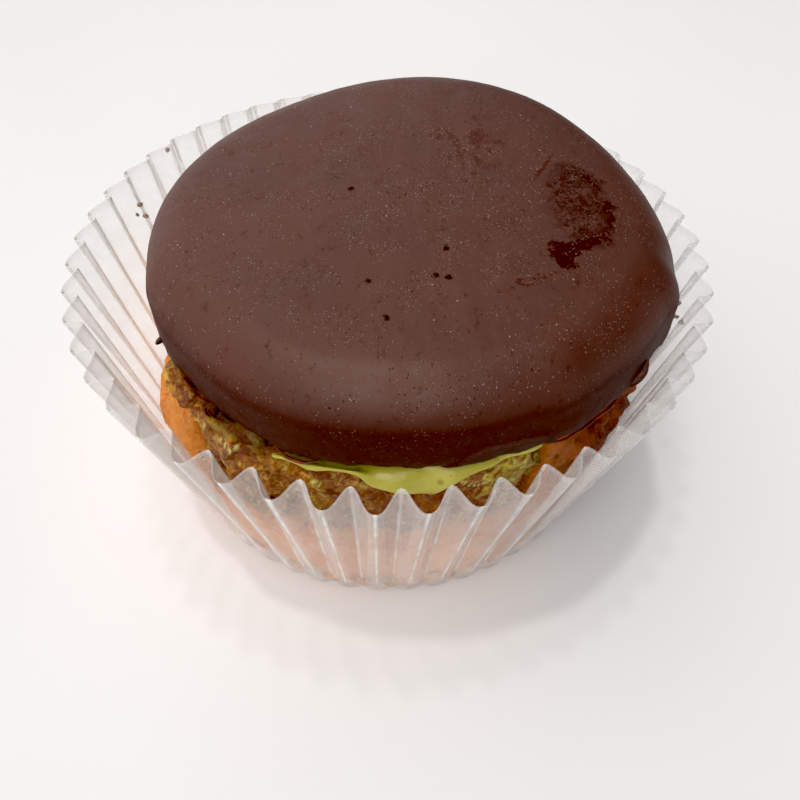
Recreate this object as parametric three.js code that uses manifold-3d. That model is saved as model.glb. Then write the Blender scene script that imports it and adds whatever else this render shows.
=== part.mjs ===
// A filled cookie in a clear pleated cup, with a chocolate-coated biscuit as its lid.
//
// Millimetres, +Z up. The origin is on the table, under the middle of the cup's rim.
// Angles are in degrees from +X, counter-clockwise seen from above; 270 is the open front,
// where the filling and the cream show between the cookie's walls.

import * as THREE from 'three';
import { mergeVertices } from 'three/addons/utils/BufferGeometryUtils.js';
import loadManifold from 'manifold-3d';

const wasm = await loadManifold();
wasm.setup();

const DEGREE = Math.PI / 180;
const TURN = 2 * Math.PI;

// Clearance between pieces that touch in the real thing.
const GAP = 0.3;

// Cup: a thin film folded into pleats that fade towards its flat base.
const CUP_PLEATS = 49;
const CUP_STEPS_PER_PLEAT = 6;
const CUP_FILM = 0.35;
const CUP_BASE_RADIUS = 31.7;
const CUP_RIM_RADIUS = 41;
const CUP_HEIGHT = 34.2;
const CUP_BASE_CORNER = 0.8;
const CUP_RIM_FOLD = 1.14;
const CUP_BASE_FOLD = 0.2;
const CUP_FOLD_DROP = 0.57;
const CUP_FIRST_FOLD = 195.8;
const CUP_BASE_SHIFT = { x: -1.06, y: 0 };
const CUP_RIM_TILT = { x: -1.88, y: -0.62 };
const CUP_OVAL = { cos: 0.0063, sin: 0.0151 };
const CUP_FOLD_CROWDING = { cos: 0.018, sin: 0.03 };

// Base cookie: a thick round bowl whose wall has crumbled away at the front.
const COOKIE_SEGMENTS = 84;
const COOKIE_CENTRE = { x: -0.6, y: 0 };
const COOKIE_BASE_SHIFT = -0.25;
const COOKIE_BOTTOM = CUP_FILM + GAP;
const COOKIE_FLOOR = 14.5;
const COOKIE_WALL_TOP = 28.7;
const COOKIE_RADIUS = 33.85;
const COOKIE_FOOT_RADIUS = 30.85;
const COOKIE_HOLLOW_RADIUS = 28.8;
const COOKIE_RELIEF = 0.2;
const COOKIE_FLAT = { angle: 189, width: 17, depth: 1.2 };
const OPENING = { from: 224, to: 303, blend: 4, left: 0.08, inset: 0.9 };
const OPENING_INSET = 6;

// Where the filling spills over the wall, which is lower there.
const SPILLS = [
  { from: 199, to: 230, blend: 5 },
  { from: 60, to: 94, blend: 6 },
  { from: 133, to: 161, blend: 5 },
];
const SPILL_DIP = 1.5;
const SPILL_INSET = 6;

// Filling: shredded pastry and chopped nuts, pressed into the bowl.
const FILLING_SEGMENTS = 72;
const FILLING_TOP = 28.3;
const FILLING_FRONT_RADIUS = 31;
const FILLING_BULGE = { from: 228, to: 247, blend: 6, depth: 1.6 };
const FILLING_SPILL_RADIUS = 31.8;
const FILLING_RELIEF = 0.4;
const SHRED_SIDES = 5;
const FRONT_SHREDS = 96;
const SPILL_SHREDS = 12;
const NUT = { angle: 294.5, radius: 30.7, height: 25, size: [1.9, 1.5, 1.6] };

// Cream: a thin sheet on the filling that hangs over it at the front.
const CREAM_SEGMENTS = 90;
const CREAM_BOTTOM = FILLING_TOP + GAP;
const CREAM_THICKNESS = 0.8;
const CREAM_RADIUS = 27.6;
const CREAM_LIP = { from: 246, to: 303, blend: 5, inner: 31.5, outer: 32.7 };
const CREAM_HANG = { from: 263, to: 288, blend: 4, least: 0.4 };
const CREAM_DRIPS = [
  { angle: 269.5, width: 4.5, length: 2.1 },
  { angle: 277.8, width: 4, length: 3.8 },
];

// Lid: a thick round biscuit in a satin chocolate coat.
const LID_SEGMENTS = 84;
const LID_CENTRE = { x: 1.9, y: -0.95 };
const LID_RADIUS = 32.15;
const LID_BOTTOM = CREAM_BOTTOM + CREAM_THICKNESS + GAP;
const LID_THICKNESS = 13;
const LID_FOOT = 3;
const LID_SHOULDER = 6;
const LID_DOME = 1;
const LID_DOME_POWER = 4;
// Slow waves of the outline, by their count around it, and the coat's local lobes.
const LID_WAVES = [
  { count: 2, cos: -0.33, sin: 0.23 },
  { count: 3, cos: -0.4, sin: -0.62 },
  { count: 4, cos: 0.12, sin: -0.46 },
];
const LID_LOBES = [
  { angle: 208, width: 7, bulge: 0.3, hang: 0.9 },
  { angle: 248, width: 8, bulge: 0.3, hang: 0.5 },
  { angle: 277, width: 9, bulge: 0.1, hang: 0.3 },
  { angle: 302, width: 7, bulge: 0.4, hang: 0.5 },
  { angle: 336, width: 6, bulge: 0.5, hang: 0.6 },
];
const LID_DROP = { angle: 323.5, radius: 32.2, height: 32, size: [1, 1.5, 1.2] };

// Seeded pseudo-random numbers from 0 to 1, the same on every run.
function seededRandom(seed) {
  let state = seed;
  return () => {
    state = (state * 1664525 + 1013904223) % 4294967296;
    return state / 4294967296;
  };
}

// Smooth noise from -1 to 1 over space, with one feature per unit.
function noise(x, y, z) {
  const corner = (i, j, k) => {
    const wave = Math.sin(i * 127.1 + j * 311.7 + k * 74.7) * 43758.5453;
    return (wave - Math.floor(wave)) * 2 - 1;
  };
  const [i, j, k] = [Math.floor(x), Math.floor(y), Math.floor(z)];
  const ease = (t) => t * t * (3 - 2 * t);
  const [u, v, w] = [ease(x - i), ease(y - j), ease(z - k)];
  const mix = THREE.MathUtils.lerp;
  const edge = (dj, dk) => mix(corner(i, j + dj, k + dk), corner(i + 1, j + dj, k + dk), u);
  return mix(mix(edge(0, 0), edge(1, 0), v), mix(edge(0, 1), edge(1, 1), v), w);
}

function degreesOf(angle) {
  return ((angle / DEGREE) % 360 + 360) % 360;
}

// 1 inside a span of angles and 0 outside it, with eased ends.
function span(angle, { from, to, blend }) {
  const degrees = degreesOf(angle);
  const rise = THREE.MathUtils.smoothstep(degrees, from - blend / 2, from + blend / 2);
  const fall = THREE.MathUtils.smoothstep(degrees, to - blend / 2, to + blend / 2);
  return rise - fall;
}

// 1 at the lobe's own angle, falling off smoothly over its width.
function lobe(angle, { angle: centre, width }) {
  const away = ((degreesOf(angle) - centre + 540) % 360) - 180;
  return Math.exp(-((away / width) ** 2));
}

// How far a spill reaches at an angle, from 0 to 1, with each one narrowed by an inset.
function spill(angle, inset) {
  return Math.max(...SPILLS.map(({ from, to, blend }) => (
    span(angle, { from: from + inset, to: to - inset, blend })
  )));
}

// Keeps only the places of a geometry, with shared vertices joined and no collapsed faces.
function weld(geometry) {
  geometry.deleteAttribute('normal');
  geometry.deleteAttribute('uv');
  const merged = mergeVertices(geometry, 1e-4);
  const corners = merged.getIndex().array;
  const kept = [];
  for (let i = 0; i < corners.length; i += 3) {
    const [a, b, c] = corners.slice(i, i + 3);
    if (a !== b && b !== c && c !== a) {
      kept.push(a, b, c);
    }
  }
  merged.setIndex(kept);
  return merged;
}

// Turns a profile of [radius, height] pairs into a closed solid; place() then says where
// each point of it goes, as [x, y, z].
function revolve(profile, segments, place) {
  const outline = profile.map(([radius, height]) => new THREE.Vector2(radius, height));
  const geometry = weld(new THREE.LatheGeometry(outline, segments).rotateX(Math.PI / 2));
  const points = geometry.getAttribute('position');
  for (let i = 0; i < points.count; i += 1) {
    const radius = Math.hypot(points.getX(i), points.getY(i));
    const angle = Math.atan2(points.getY(i), points.getX(i));
    points.setXYZ(i, ...place(angle, radius, points.getZ(i)));
  }
  return geometry;
}

function polar(centre, angle, radius, height) {
  return [centre.x + radius * Math.cos(angle), centre.y + radius * Math.sin(angle), height];
}

function toSolid(geometry) {
  return new wasm.Manifold(new wasm.Mesh({
    numProp: 3,
    vertProperties: new Float32Array(geometry.getAttribute('position').array),
    triVerts: new Uint32Array(geometry.getIndex().array),
  }));
}

function toGeometry(solid) {
  const { vertProperties, triVerts } = solid.getMesh();
  const geometry = new THREE.BufferGeometry();
  geometry.setAttribute('position', new THREE.BufferAttribute(vertProperties, 3));
  geometry.setIndex(new THREE.BufferAttribute(triVerts, 1));
  return geometry;
}

function makeCup() {
  const midRim = CUP_RIM_RADIUS - CUP_RIM_FOLD;
  const profile = [
    [0, 0],
    [CUP_BASE_RADIUS - CUP_BASE_CORNER, 0],
    [CUP_BASE_RADIUS, CUP_BASE_CORNER],
    [midRim, CUP_HEIGHT],
    [midRim - CUP_FILM, CUP_HEIGHT],
    [CUP_BASE_RADIUS - CUP_FILM, CUP_BASE_CORNER + CUP_FILM / 2],
    [CUP_BASE_RADIUS - CUP_BASE_CORNER, CUP_FILM],
    [0, CUP_FILM],
  ];
  const place = (turned, radius, height) => {
    const rise = height / CUP_HEIGHT;
    const folded = Math.cos(CUP_PLEATS * turned);
    const even = turned + CUP_FIRST_FOLD * DEGREE;
    const crowding = CUP_FOLD_CROWDING.cos * Math.cos(even) + CUP_FOLD_CROWDING.sin * Math.sin(even);
    const angle = even + crowding;
    const oval = CUP_OVAL.cos * Math.cos(2 * angle) + CUP_OVAL.sin * Math.sin(2 * angle);
    const onWall = radius > CUP_BASE_RADIUS / 2 ? 1 : 0;
    const fold = onWall * folded * THREE.MathUtils.lerp(CUP_BASE_FOLD, CUP_RIM_FOLD, rise);
    const tilt = CUP_RIM_TILT.x * Math.cos(angle) + CUP_RIM_TILT.y * Math.sin(angle);
    const centre = {
      x: CUP_BASE_SHIFT.x * (1 - rise),
      y: CUP_BASE_SHIFT.y * (1 - rise),
    };
    const lift = rise > 0.1 ? rise * (tilt - CUP_FOLD_DROP * folded) : 0;
    return polar(centre, angle, (radius + fold) * (1 + rise * oval), height + lift);
  };
  return revolve(profile, CUP_PLEATS * CUP_STEPS_PER_PLEAT, place);
}

function makeCookie() {
  const middle = (COOKIE_BOTTOM + COOKIE_FLOOR) / 2;
  const profile = [
    [0, COOKIE_BOTTOM],
    [COOKIE_FOOT_RADIUS - 1.2, COOKIE_BOTTOM],
    [COOKIE_FOOT_RADIUS, COOKIE_BOTTOM + 1.1],
    [COOKIE_FOOT_RADIUS + 0.7, middle - 2],
    [COOKIE_RADIUS - 1.9, middle + 2.5],
    [COOKIE_RADIUS - 0.9, COOKIE_FLOOR - 0.5],
    [COOKIE_RADIUS, COOKIE_FLOOR + 3.5],
    [COOKIE_RADIUS - 0.3, COOKIE_FLOOR + 7],
    [COOKIE_RADIUS - 1, COOKIE_FLOOR + 10.5],
    [COOKIE_RADIUS - 1.8, COOKIE_WALL_TOP - 1],
    [COOKIE_RADIUS - 2.9, COOKIE_WALL_TOP],
    [COOKIE_HOLLOW_RADIUS + 0.6, COOKIE_WALL_TOP - 0.4],
    [COOKIE_HOLLOW_RADIUS + 0.1, COOKIE_WALL_TOP - 1.5],
    [COOKIE_HOLLOW_RADIUS, COOKIE_FLOOR + 1],
    [COOKIE_HOLLOW_RADIUS - 0.8, COOKIE_FLOOR],
    [0, COOKIE_FLOOR],
  ];
  const place = (angle, radius, height) => {
    const above = Math.max(0, height - COOKIE_FLOOR);
    const onWall = radius > COOKIE_HOLLOW_RADIUS ? 1 : 0;
    const open = 1 - (1 - OPENING.left) * span(angle, OPENING) * onWall;
    const dip = SPILL_DIP * spill(angle, 0) * onWall * THREE.MathUtils.smoothstep(above, 6, 12);
    const rough = noise(radius * Math.cos(angle) / 4, radius * Math.sin(angle) / 4, height / 4);
    const outside = radius > COOKIE_HOLLOW_RADIUS + 1 && height > COOKIE_BOTTOM ? 1 : 0;
    const centre = {
      x: COOKIE_CENTRE.x + COOKIE_BASE_SHIFT * Math.max(0, 1 - height / COOKIE_FLOOR),
      y: COOKIE_CENTRE.y,
    };
    const level = Math.min(height, COOKIE_FLOOR) + above * open - dip;
    const bump = COOKIE_RELIEF * rough * outside;
    const flat = COOKIE_FLAT.depth * lobe(angle, COOKIE_FLAT) * THREE.MathUtils.smoothstep(height, 14, 22);
    const sunk = above > 0 && outside ? OPENING.inset * (1 - open) : 0;
    const reach = radius + bump - sunk - flat * outside * (radius > COOKIE_HOLLOW_RADIUS + 1.5 ? 1 : 0);
    return polar(centre, angle, reach, level + bump * (above > 8 ? 1 : 0));
  };
  return revolve(profile, COOKIE_SEGMENTS, place);
}

function makeCream() {
  const top = CREAM_BOTTOM + CREAM_THICKNESS;
  const profile = [
    [0, CREAM_BOTTOM],
    [CREAM_RADIUS - 2, CREAM_BOTTOM],
    [CREAM_RADIUS - 0.8, CREAM_BOTTOM],
    [CREAM_RADIUS - 0.5, CREAM_BOTTOM + 0.05],
    [CREAM_RADIUS, CREAM_BOTTOM + 0.3],
    [CREAM_RADIUS - 0.3, top - 0.1],
    [CREAM_RADIUS - 2, top],
    [0, top],
  ];
  const place = (angle, radius, height) => {
    const lip = span(angle, CREAM_LIP);
    const hang = span(angle, CREAM_HANG);
    const atEdge = THREE.MathUtils.clamp((radius - CREAM_RADIUS + 1) / 0.2, 0, 1);
    const outward = THREE.MathUtils.clamp((radius - CREAM_RADIUS + 0.8) / 0.8, 0, 1);
    const reach = THREE.MathUtils.lerp(CREAM_LIP.inner, CREAM_LIP.outer, outward);
    const drip = CREAM_DRIPS.reduce((sum, spot) => (
      sum + spot.length * lobe(angle, spot)
    ), CREAM_HANG.least);
    const hanging = height < top - 0.2 && radius > CREAM_RADIUS - 0.7 ? 1 : 0;
    const grown = THREE.MathUtils.lerp(radius, reach, lip * atEdge);
    const rough = 0.12 * noise(radius * Math.cos(angle) / 3, radius * Math.sin(angle) / 3, 0);
    return polar(COOKIE_CENTRE, angle, grown + rough * atEdge, height - drip * hang * hanging);
  };
  return revolve(profile, CREAM_SEGMENTS, place);
}

function lidOutline(angle) {
  const waves = LID_WAVES.reduce((sum, { count, cos, sin }) => (
    sum + cos * Math.cos(count * angle) + sin * Math.sin(count * angle)
  ), 0);
  return LID_LOBES.reduce((sum, place) => sum + place.bulge * lobe(angle, place), waves);
}

function makeLid() {
  const inner = LID_RADIUS - LID_SHOULDER;
  const upper = LID_THICKNESS - LID_FOOT;
  const foot = [60, 35, 12].map((degrees) => [
    LID_RADIUS - LID_FOOT * (1 - Math.cos(degrees * DEGREE)),
    LID_FOOT * (1 - Math.sin(degrees * DEGREE)),
  ]);
  const shoulder = [0, 18, 36, 54, 72, 90].map((degrees) => [
    inner + LID_SHOULDER * Math.cos(degrees * DEGREE),
    LID_THICKNESS - LID_SHOULDER * (1 - Math.sin(degrees * DEGREE)),
  ]);
  const crown = [0.8, 0.5].map((share) => [inner * share, LID_THICKNESS]);
  const profile = [
    [0, 0],
    [LID_RADIUS - LID_FOOT, 0],
    ...foot,
    [LID_RADIUS, LID_FOOT],
    ...shoulder,
    ...crown,
    [0, LID_THICKNESS],
  ];
  const place = (angle, radius, height) => {
    const share = radius / LID_RADIUS;
    const hang = LID_LOBES.reduce((sum, spot) => sum + spot.hang * lobe(angle, spot), 0);
    const low = height > 0.01 && height < LID_FOOT - 0.5 ? 1 : 0;
    const rough = 0.15 * noise(radius * Math.cos(angle) / 6, radius * Math.sin(angle) / 6, height / 6);
    const grown = radius + share * (lidOutline(angle) + rough);
    const sag = LID_DOME * share ** LID_DOME_POWER * Math.max(0, height - LID_FOOT) / upper;
    const level = LID_BOTTOM + height - sag - low * Math.min(hang, height * 0.6) * 0.8;
    return polar(LID_CENTRE, angle, grown, level);
  };
  const drop = weld(new THREE.SphereGeometry(1, 10, 8));
  drop.scale(...LID_DROP.size);
  drop.rotateZ(LID_DROP.angle * DEGREE);
  drop.translate(...polar(LID_CENTRE, LID_DROP.angle * DEGREE, LID_DROP.radius, LID_DROP.height));
  return toGeometry(toSolid(revolve(profile, LID_SEGMENTS, place)).add(toSolid(drop)));
}

function fillingFront(angle) {
  const { from, to, blend } = OPENING;
  return span(angle, { from: from + OPENING_INSET, to: to - OPENING_INSET, blend });
}

function makeFillingCore() {
  const inside = COOKIE_HOLLOW_RADIUS - GAP - 0.1;
  const wallTop = COOKIE_WALL_TOP - SPILL_DIP;
  const profile = [
    [0, COOKIE_FLOOR + GAP],
    [inside - 1.2, COOKIE_FLOOR + GAP],
    [inside - 0.2, COOKIE_FLOOR + 1.4],
    [inside, COOKIE_FLOOR + 2.2],
    [inside, COOKIE_FLOOR + 5],
    [inside, COOKIE_FLOOR + 8],
    [inside, wallTop - 0.4],
    [inside - 0.1, wallTop + GAP + 0.1],
    [inside - 0.4, FILLING_TOP - 0.1],
    [inside - 3, FILLING_TOP],
    [0, FILLING_TOP],
  ];
  const place = (angle, radius, height) => {
    const front = fillingFront(angle) * (height > COOKIE_FLOOR + 2 && radius > inside - 0.5 ? 1 : 0);
    const over = spill(angle, SPILL_INSET) * (height > wallTop && radius > inside - 0.5 ? 1 : 0);
    const rough = noise(radius * Math.cos(angle) / 2.6, radius * Math.sin(angle) / 2.6, height / 2.6);
    const bulge = FILLING_BULGE.depth * span(angle, FILLING_BULGE) * (height < wallTop + 0.2 ? 1 : 0.4);
    const reach = THREE.MathUtils.lerp(radius, FILLING_FRONT_RADIUS + bulge, front);
    const grown = THREE.MathUtils.lerp(reach, FILLING_SPILL_RADIUS, over);
    return polar(COOKIE_CENTRE, angle, grown + FILLING_RELIEF * (rough - 1) * front, height);
  };
  return revolve(profile, FILLING_SEGMENTS, place);
}

// One bent, tapering shred of pastry, lying along +X.
function makeShred(random) {
  const length = 1.8 + 2.4 * random();
  const thick = 0.45 + 0.35 * random();
  const bend = 0.5 * (random() - 0.5) * length;
  const shred = weld(new THREE.CylinderGeometry(thick * 0.7, thick * 0.5, length, SHRED_SIDES, 2));
  shred.rotateZ(Math.PI / 2);
  const points = shred.getAttribute('position');
  for (let i = 0; i < points.count; i += 1) {
    const middle = Math.abs(points.getX(i)) < length / 4 ? 1 : 0;
    points.setY(i, points.getY(i) * (1 + 0.5 * middle) + bend * middle);
    points.setZ(i, points.getZ(i) * (1 + 0.5 * middle));
  }
  return shred;
}

// Stands a piece that lies along +X on the filling's side, at an angle and a height.
function settle(piece, random, angle, radius, height) {
  piece.rotateX(TURN * random());
  piece.rotateY(0.6 * (random() - 0.5));
  piece.rotateZ(0.7 * (random() - 0.5));
  piece.applyMatrix4(new THREE.Matrix4().makeRotationX((random() - 0.5) * Math.PI * 0.9));
  piece.rotateZ(angle + Math.PI / 2);
  piece.translate(...polar(COOKIE_CENTRE, angle, radius, height));
  return piece;
}

// Whether a piece would come too close to any of its neighbours.
function crowds(piece, neighbours) {
  const centre = piece.boundingSphere.center;
  const padded = toSolid(piece.clone()
    .translate(-centre.x, -centre.y, -centre.z)
    .scale(1.35, 1.35, 1.35)
    .translate(centre.x, centre.y, centre.z));
  return neighbours.some((neighbour) => !padded.intersect(neighbour).isEmpty());
}

function makeFilling(neighbours) {
  const random = seededRandom(7);
  const pieces = [];
  const nut = weld(new THREE.SphereGeometry(1, 8, 6)).scale(...NUT.size);
  pieces.push(settle(nut, () => 0.5, NUT.angle * DEGREE, NUT.radius, NUT.height));
  for (let i = 0; i < FRONT_SHREDS; i += 1) {
    const share = (i * 0.618034) % 1;
    const angle = (OPENING.from + 5 + (OPENING.to - OPENING.from - 10) * share) * DEGREE;
    const height = COOKIE_FLOOR + 2.6 + (FILLING_TOP - COOKIE_FLOOR - 2.6) * random();
    const bulge = FILLING_BULGE.depth * span(angle, FILLING_BULGE);
    const radius = FILLING_FRONT_RADIUS + bulge - 0.5 + 0.7 * random();
    pieces.push(settle(makeShred(random), random, angle, radius, height));
  }
  for (const place of SPILLS) {
    for (let i = 0; i < SPILL_SHREDS; i += 1) {
      const angle = (place.from + (place.to - place.from) * ((i + random()) / SPILL_SHREDS)) * DEGREE;
      const radius = FILLING_SPILL_RADIUS - 0.9 + 0.9 * random();
      pieces.push(settle(makeShred(random), random, angle, radius, FILLING_TOP + 1.2 * random()));
    }
  }
  let filling = toSolid(makeFillingCore());
  for (const piece of pieces) {
    piece.computeBoundingSphere();
    if (!crowds(piece, neighbours)) {
      const solid = toSolid(piece);
      if (solid.intersect(filling).volume() > 0.25 * solid.volume()) {
        filling = filling.add(solid);
      }
    }
  }
  return toGeometry(filling);
}

function makePart() {
  const cup = makeCup();
  const cookie = makeCookie();
  const cream = makeCream();
  const lid = makeLid();
  const filling = makeFilling([cup, cookie, cream, lid].map(toSolid));
  const finishes = [
    ['clear_cup', cup, 0xe4e0dc, 0.25],
    ['base_cookie', cookie, 0xc98240, 0.8],
    ['pastry_filling', filling, 0xa0782e, 0.75],
    ['pistachio_cream', cream, 0xb2b85e, 0.5],
    ['chocolate_lid', lid, 0x4a281e, 0.45],
  ];
  const part = new THREE.Group();
  for (const [name, geometry, color, roughness] of finishes) {
    const material = new THREE.MeshStandardMaterial({ color, roughness, metalness: 0 });
    const mesh = new THREE.Mesh(geometry, material);
    mesh.name = name;
    part.add(mesh);
  }
  return part;
}

export default makePart();
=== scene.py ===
"""A filled cookie with a chocolate-coated biscuit as its lid, in a clear pleated cup."""

import math
import random

import bpy
import numpy as np
from mathutils import Euler, Matrix, Vector, noise
from mathutils.kdtree import KDTree


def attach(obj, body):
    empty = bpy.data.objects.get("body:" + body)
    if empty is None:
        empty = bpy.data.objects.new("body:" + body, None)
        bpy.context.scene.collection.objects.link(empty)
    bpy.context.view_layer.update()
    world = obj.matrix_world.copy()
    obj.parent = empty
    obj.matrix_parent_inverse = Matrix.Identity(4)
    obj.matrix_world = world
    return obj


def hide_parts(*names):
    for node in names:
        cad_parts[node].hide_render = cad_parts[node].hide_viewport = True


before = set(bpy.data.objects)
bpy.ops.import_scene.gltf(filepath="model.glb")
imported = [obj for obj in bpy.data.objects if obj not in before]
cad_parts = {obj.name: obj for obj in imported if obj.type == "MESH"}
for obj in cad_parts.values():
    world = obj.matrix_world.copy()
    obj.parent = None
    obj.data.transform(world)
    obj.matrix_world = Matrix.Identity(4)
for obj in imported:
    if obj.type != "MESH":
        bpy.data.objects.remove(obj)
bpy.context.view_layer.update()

# Sizes are in millimetres until they go into a mesh. Angles are in degrees from +X,
# counter-clockwise seen from above; 270 is the open front.
MM = 0.001

# Cup.
PLEATS = 49
CUP_STEPS_PER_PLEAT = 16
CUP_FILM = 0.14
CUP_BASE_RADIUS = 31.6
CUP_RIM_RADIUS = 39.8
CUP_CORNER = 0.8
CUP_HEIGHT = 34.2
CUP_BASE_FOLD = 0.2
CUP_RIM_FOLD = 1.14
CUP_FOLD_DROP = 0.57
CUP_FIRST_FOLD = 195.8
CUP_FOLD_CROWDING = (0.018, 0.03)
# How the folds' depth varies round the cup: (waves, phase, share of the depth).
CUP_FOLD_RIPPLES = ((3, 1, 0.045), (7, 0, 0.035))
CUP_BASE_SHIFT = -1.06
CUP_RIM_TILT = (-1.88, -0.62)
CUP_OVAL = (0.0063, 0.0151)
# Share of the film's haze that holds light back: the rest passes on through it.
FILM_SHADE = 0.5

# Base cookie.
COOKIE_CENTRE = (-0.6, 0.0)
COOKIE_BOTTOM = 0.65
COOKIE_FLOOR = 14.5
COOKIE_TOP = 28.7
COOKIE_RADIUS = 33.85
COOKIE_FOOT = 30.85
COOKIE_HOLLOW = 28.8
# How far its foot is off its centre along X, as the cup's base is.
COOKIE_FOOT_SHIFT = -0.25
# The open front: its first and last angle.
OPENING = (224, 303)
# Where the filling spills over the wall: first and last angle, and how softly the ends blend.
SPILLS = ((201, 230, 5), (60, 94, 6), (133, 161, 5))
# How much lower the wall is at the spills, and where the left one's dip runs on (angle, width).
SPILL_DIP = 1.5
SPILL_DIP_END = (194, 9)
# The left spill's deepest place: (angle, width, depth), and how steeply it deepens upwards.
LEFT_DIP = (202, 8, 1.9)
LEFT_DIP_SLOPE = (202, 9, 0.34)
# Where the wall is flatter: angle, width, depth, and the heights between which it flattens.
COOKIE_FLATS = ((186, 13, 3.0, 14, 18), (197, 6, 2.6, 21.5, 24))
# The rougher right side: first and full x, first and full height, and how far it stands out.
COOKIE_LUMPS = (15, 26, 15, 20, 1.7)

# Filling and cream.
FILLING_TOP = 28.3
FILLING_FRONT = 31.0
# First and last angle, blend and depth of the bulge at the open front.
FILLING_BULGE = (228, 247, 6, 1.6)
FILLING_SPILL = 31.8
FRONT_SHREDS = 850
FRONT_CRUMBS = 750
PIECES_A_SPILL = 110
# The grain of the mass that the shreds and crumbs are pressed into.
PRESSED_GRAIN = 0.24
CREAM_BOTTOM = 28.6
CREAM_TOP = 29.4
CREAM_RADIUS = 27.6
# The lip and the raised tongue of the cream: first and last angle, and blend.
CREAM_LIP = (245, 304, 4)
CREAM_TONGUE = (247, 266, 6)
CREAM_LIP_INNER = 31.5
CREAM_LIP_OUTER = 32.7
# The radius of the groove behind the tongue, and the ripples of the lip: (waves, phase, height).
CREAM_GROOVE = 30.7
CREAM_RIPPLES = ((23, 0, 0.22), (41, 1, 0.15))
# How far the cream's edge hangs down, by angle.
CREAM_HANG = (
    (262, 0), (264.5, 0.3), (266.3, 1.8), (269, 2.4), (273, 3.0), (277, 4.1),
    (279.3, 4.7), (281, 2.9), (283.5, 2.0), (286, 1.3), (289, 1.0), (297, 0.9), (303, 0.7), (305, 0.2),
)

# Lid.
LID_CENTRE = (1.9, -0.95)
LID_RADIUS = 32.15
LID_BOTTOM = 29.7
LID_THICKNESS = 13.0
LID_FOOT = 3.0
LID_SHOULDER = 6.0
LID_DOME = 1.0
# How the outline departs from a circle: (waves, cosine part, sine part).
LID_WAVES = ((2, -0.33, 0.23), (3, -0.4, -0.62), (4, 0.12, -0.46))
# Angle, width, how far the coat bulges there and how far it hangs.
LID_LOBES = (
    (199, 6, 0.4, 0.5),
    (208, 7, 0.4, 1.3),
    (248, 8, 0.3, 0.5),
    (277, 9, 0.1, 0.3),
    (302, 7, 0.4, 0.5),
    (338.5, 4.5, 0.9, 1.6),
    (350, 7, 0.3, 0.3),
)
# Ripples of the lower edge: (waves, phase, height).
LID_RIPPLES = ((31, 0, 0.16), (53, 2, 0.12))
# The second layer of coat over the lower front edge: its upper border, by angle.
LID_FLAKE = ((275, 0.4), (279, 2.2), (284, 3.9), (291, 3.6), (297, 3.0), (301, 0.6))
LID_FLAKE_DEPTH = 0.3
# The specular level of the coat where it faces up.
LID_SHEEN = 0.7
# Notches in the lower edge: (angle, width, depth).
LID_NOTCHES = ((296.8, 1.3, 1.1), (332.6, 1.7, 1.3))
# Slots where the coat lifted off: first and last angle, height over the underside.
LID_SLOTS = ((214.5, 223.5, 1.2), (244.2, 250.4, 1.25))
LID_SLOT_DEPTH = 0.5
# Pinholes in the coat, seen from above: (x, y).
LID_PINHOLES = ((-5.2, 0.3), (-2.7, -16.1), (6.0, -15.4), (5.9, -10.6), (-0.7, -21.6), (4.6, -15.2))
# Marks in the coat, seen from above: centre, half the size each way, and turn.
SPECKLED_MIDDLE = ((3, -2), (18, 21), -25)
WET_STAIN = ((22.0, -2.3), (3.7, 7.6), 4)
WET_TAIL = ((18.9, -11.9), (1.6, 2.2), 20)
WET_BAND = ((20.8, -10.2), (2.7, 0.9), 25)
FAINT_BLOTCH = ((9.5, 9.0), (4.6, 10.0), -12)
THIN_STREAK = ((18.7, 5.2), (0.26, 3.4), -27)
DOTTED_STREAK = ((15.0, -16.0), (4.4, 0.5), 24)

# Camera and lamp.
CAMERA_AT = (0.679, -81.074, 101.306)
CAMERA_AIM = (0.679, 2.335, 0)
LAMP_AT = (-57, 53, 600)
# Light: radiance of the room, how much of it is left on the right and in front, what the
# ceiling adds overhead, and the ceiling lamp's watts. The darkest tones are cut at BLACK_POINT.
ROOM_LIGHT = 1.0
ROOM_RIGHT = 0.08
ROOM_FRONT = 0.5
CEILING = 3.4
CEILING_AT = (-0.08, -0.6, 0.79)
LAMP_POWER = 0.8
BLACK_POINT = 0.02


# ---------------------------------------------------------------- making shapes


def deselect_all():
    if bpy.context.object and bpy.context.object.mode != "OBJECT":
        bpy.ops.object.mode_set(mode="OBJECT")
    bpy.ops.object.select_all(action="DESELECT")


def make_active(piece):
    deselect_all()
    piece.select_set(True)
    bpy.context.view_layer.objects.active = piece


def settle_place(piece):
    """Moves the object's place into its mesh, so that the object sits at the origin."""
    make_active(piece)
    bpy.ops.object.transform_apply(location=True, rotation=True, scale=True)


def edit_all():
    """Goes into edit mode on the active piece, with all of it selected."""
    bpy.ops.object.mode_set(mode="EDIT")
    bpy.ops.mesh.select_all(action="SELECT")


def apply_modifier(piece, kind, **settings):
    make_active(piece)
    modifier = piece.modifiers.new(kind.title(), kind)
    for name, value in settings.items():
        setattr(modifier, name, value)
    bpy.ops.object.modifier_apply(modifier=modifier.name)


def smooth_faces(piece, angle=60):
    make_active(piece)
    bpy.ops.object.shade_smooth_by_angle(angle=math.radians(angle))


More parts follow.
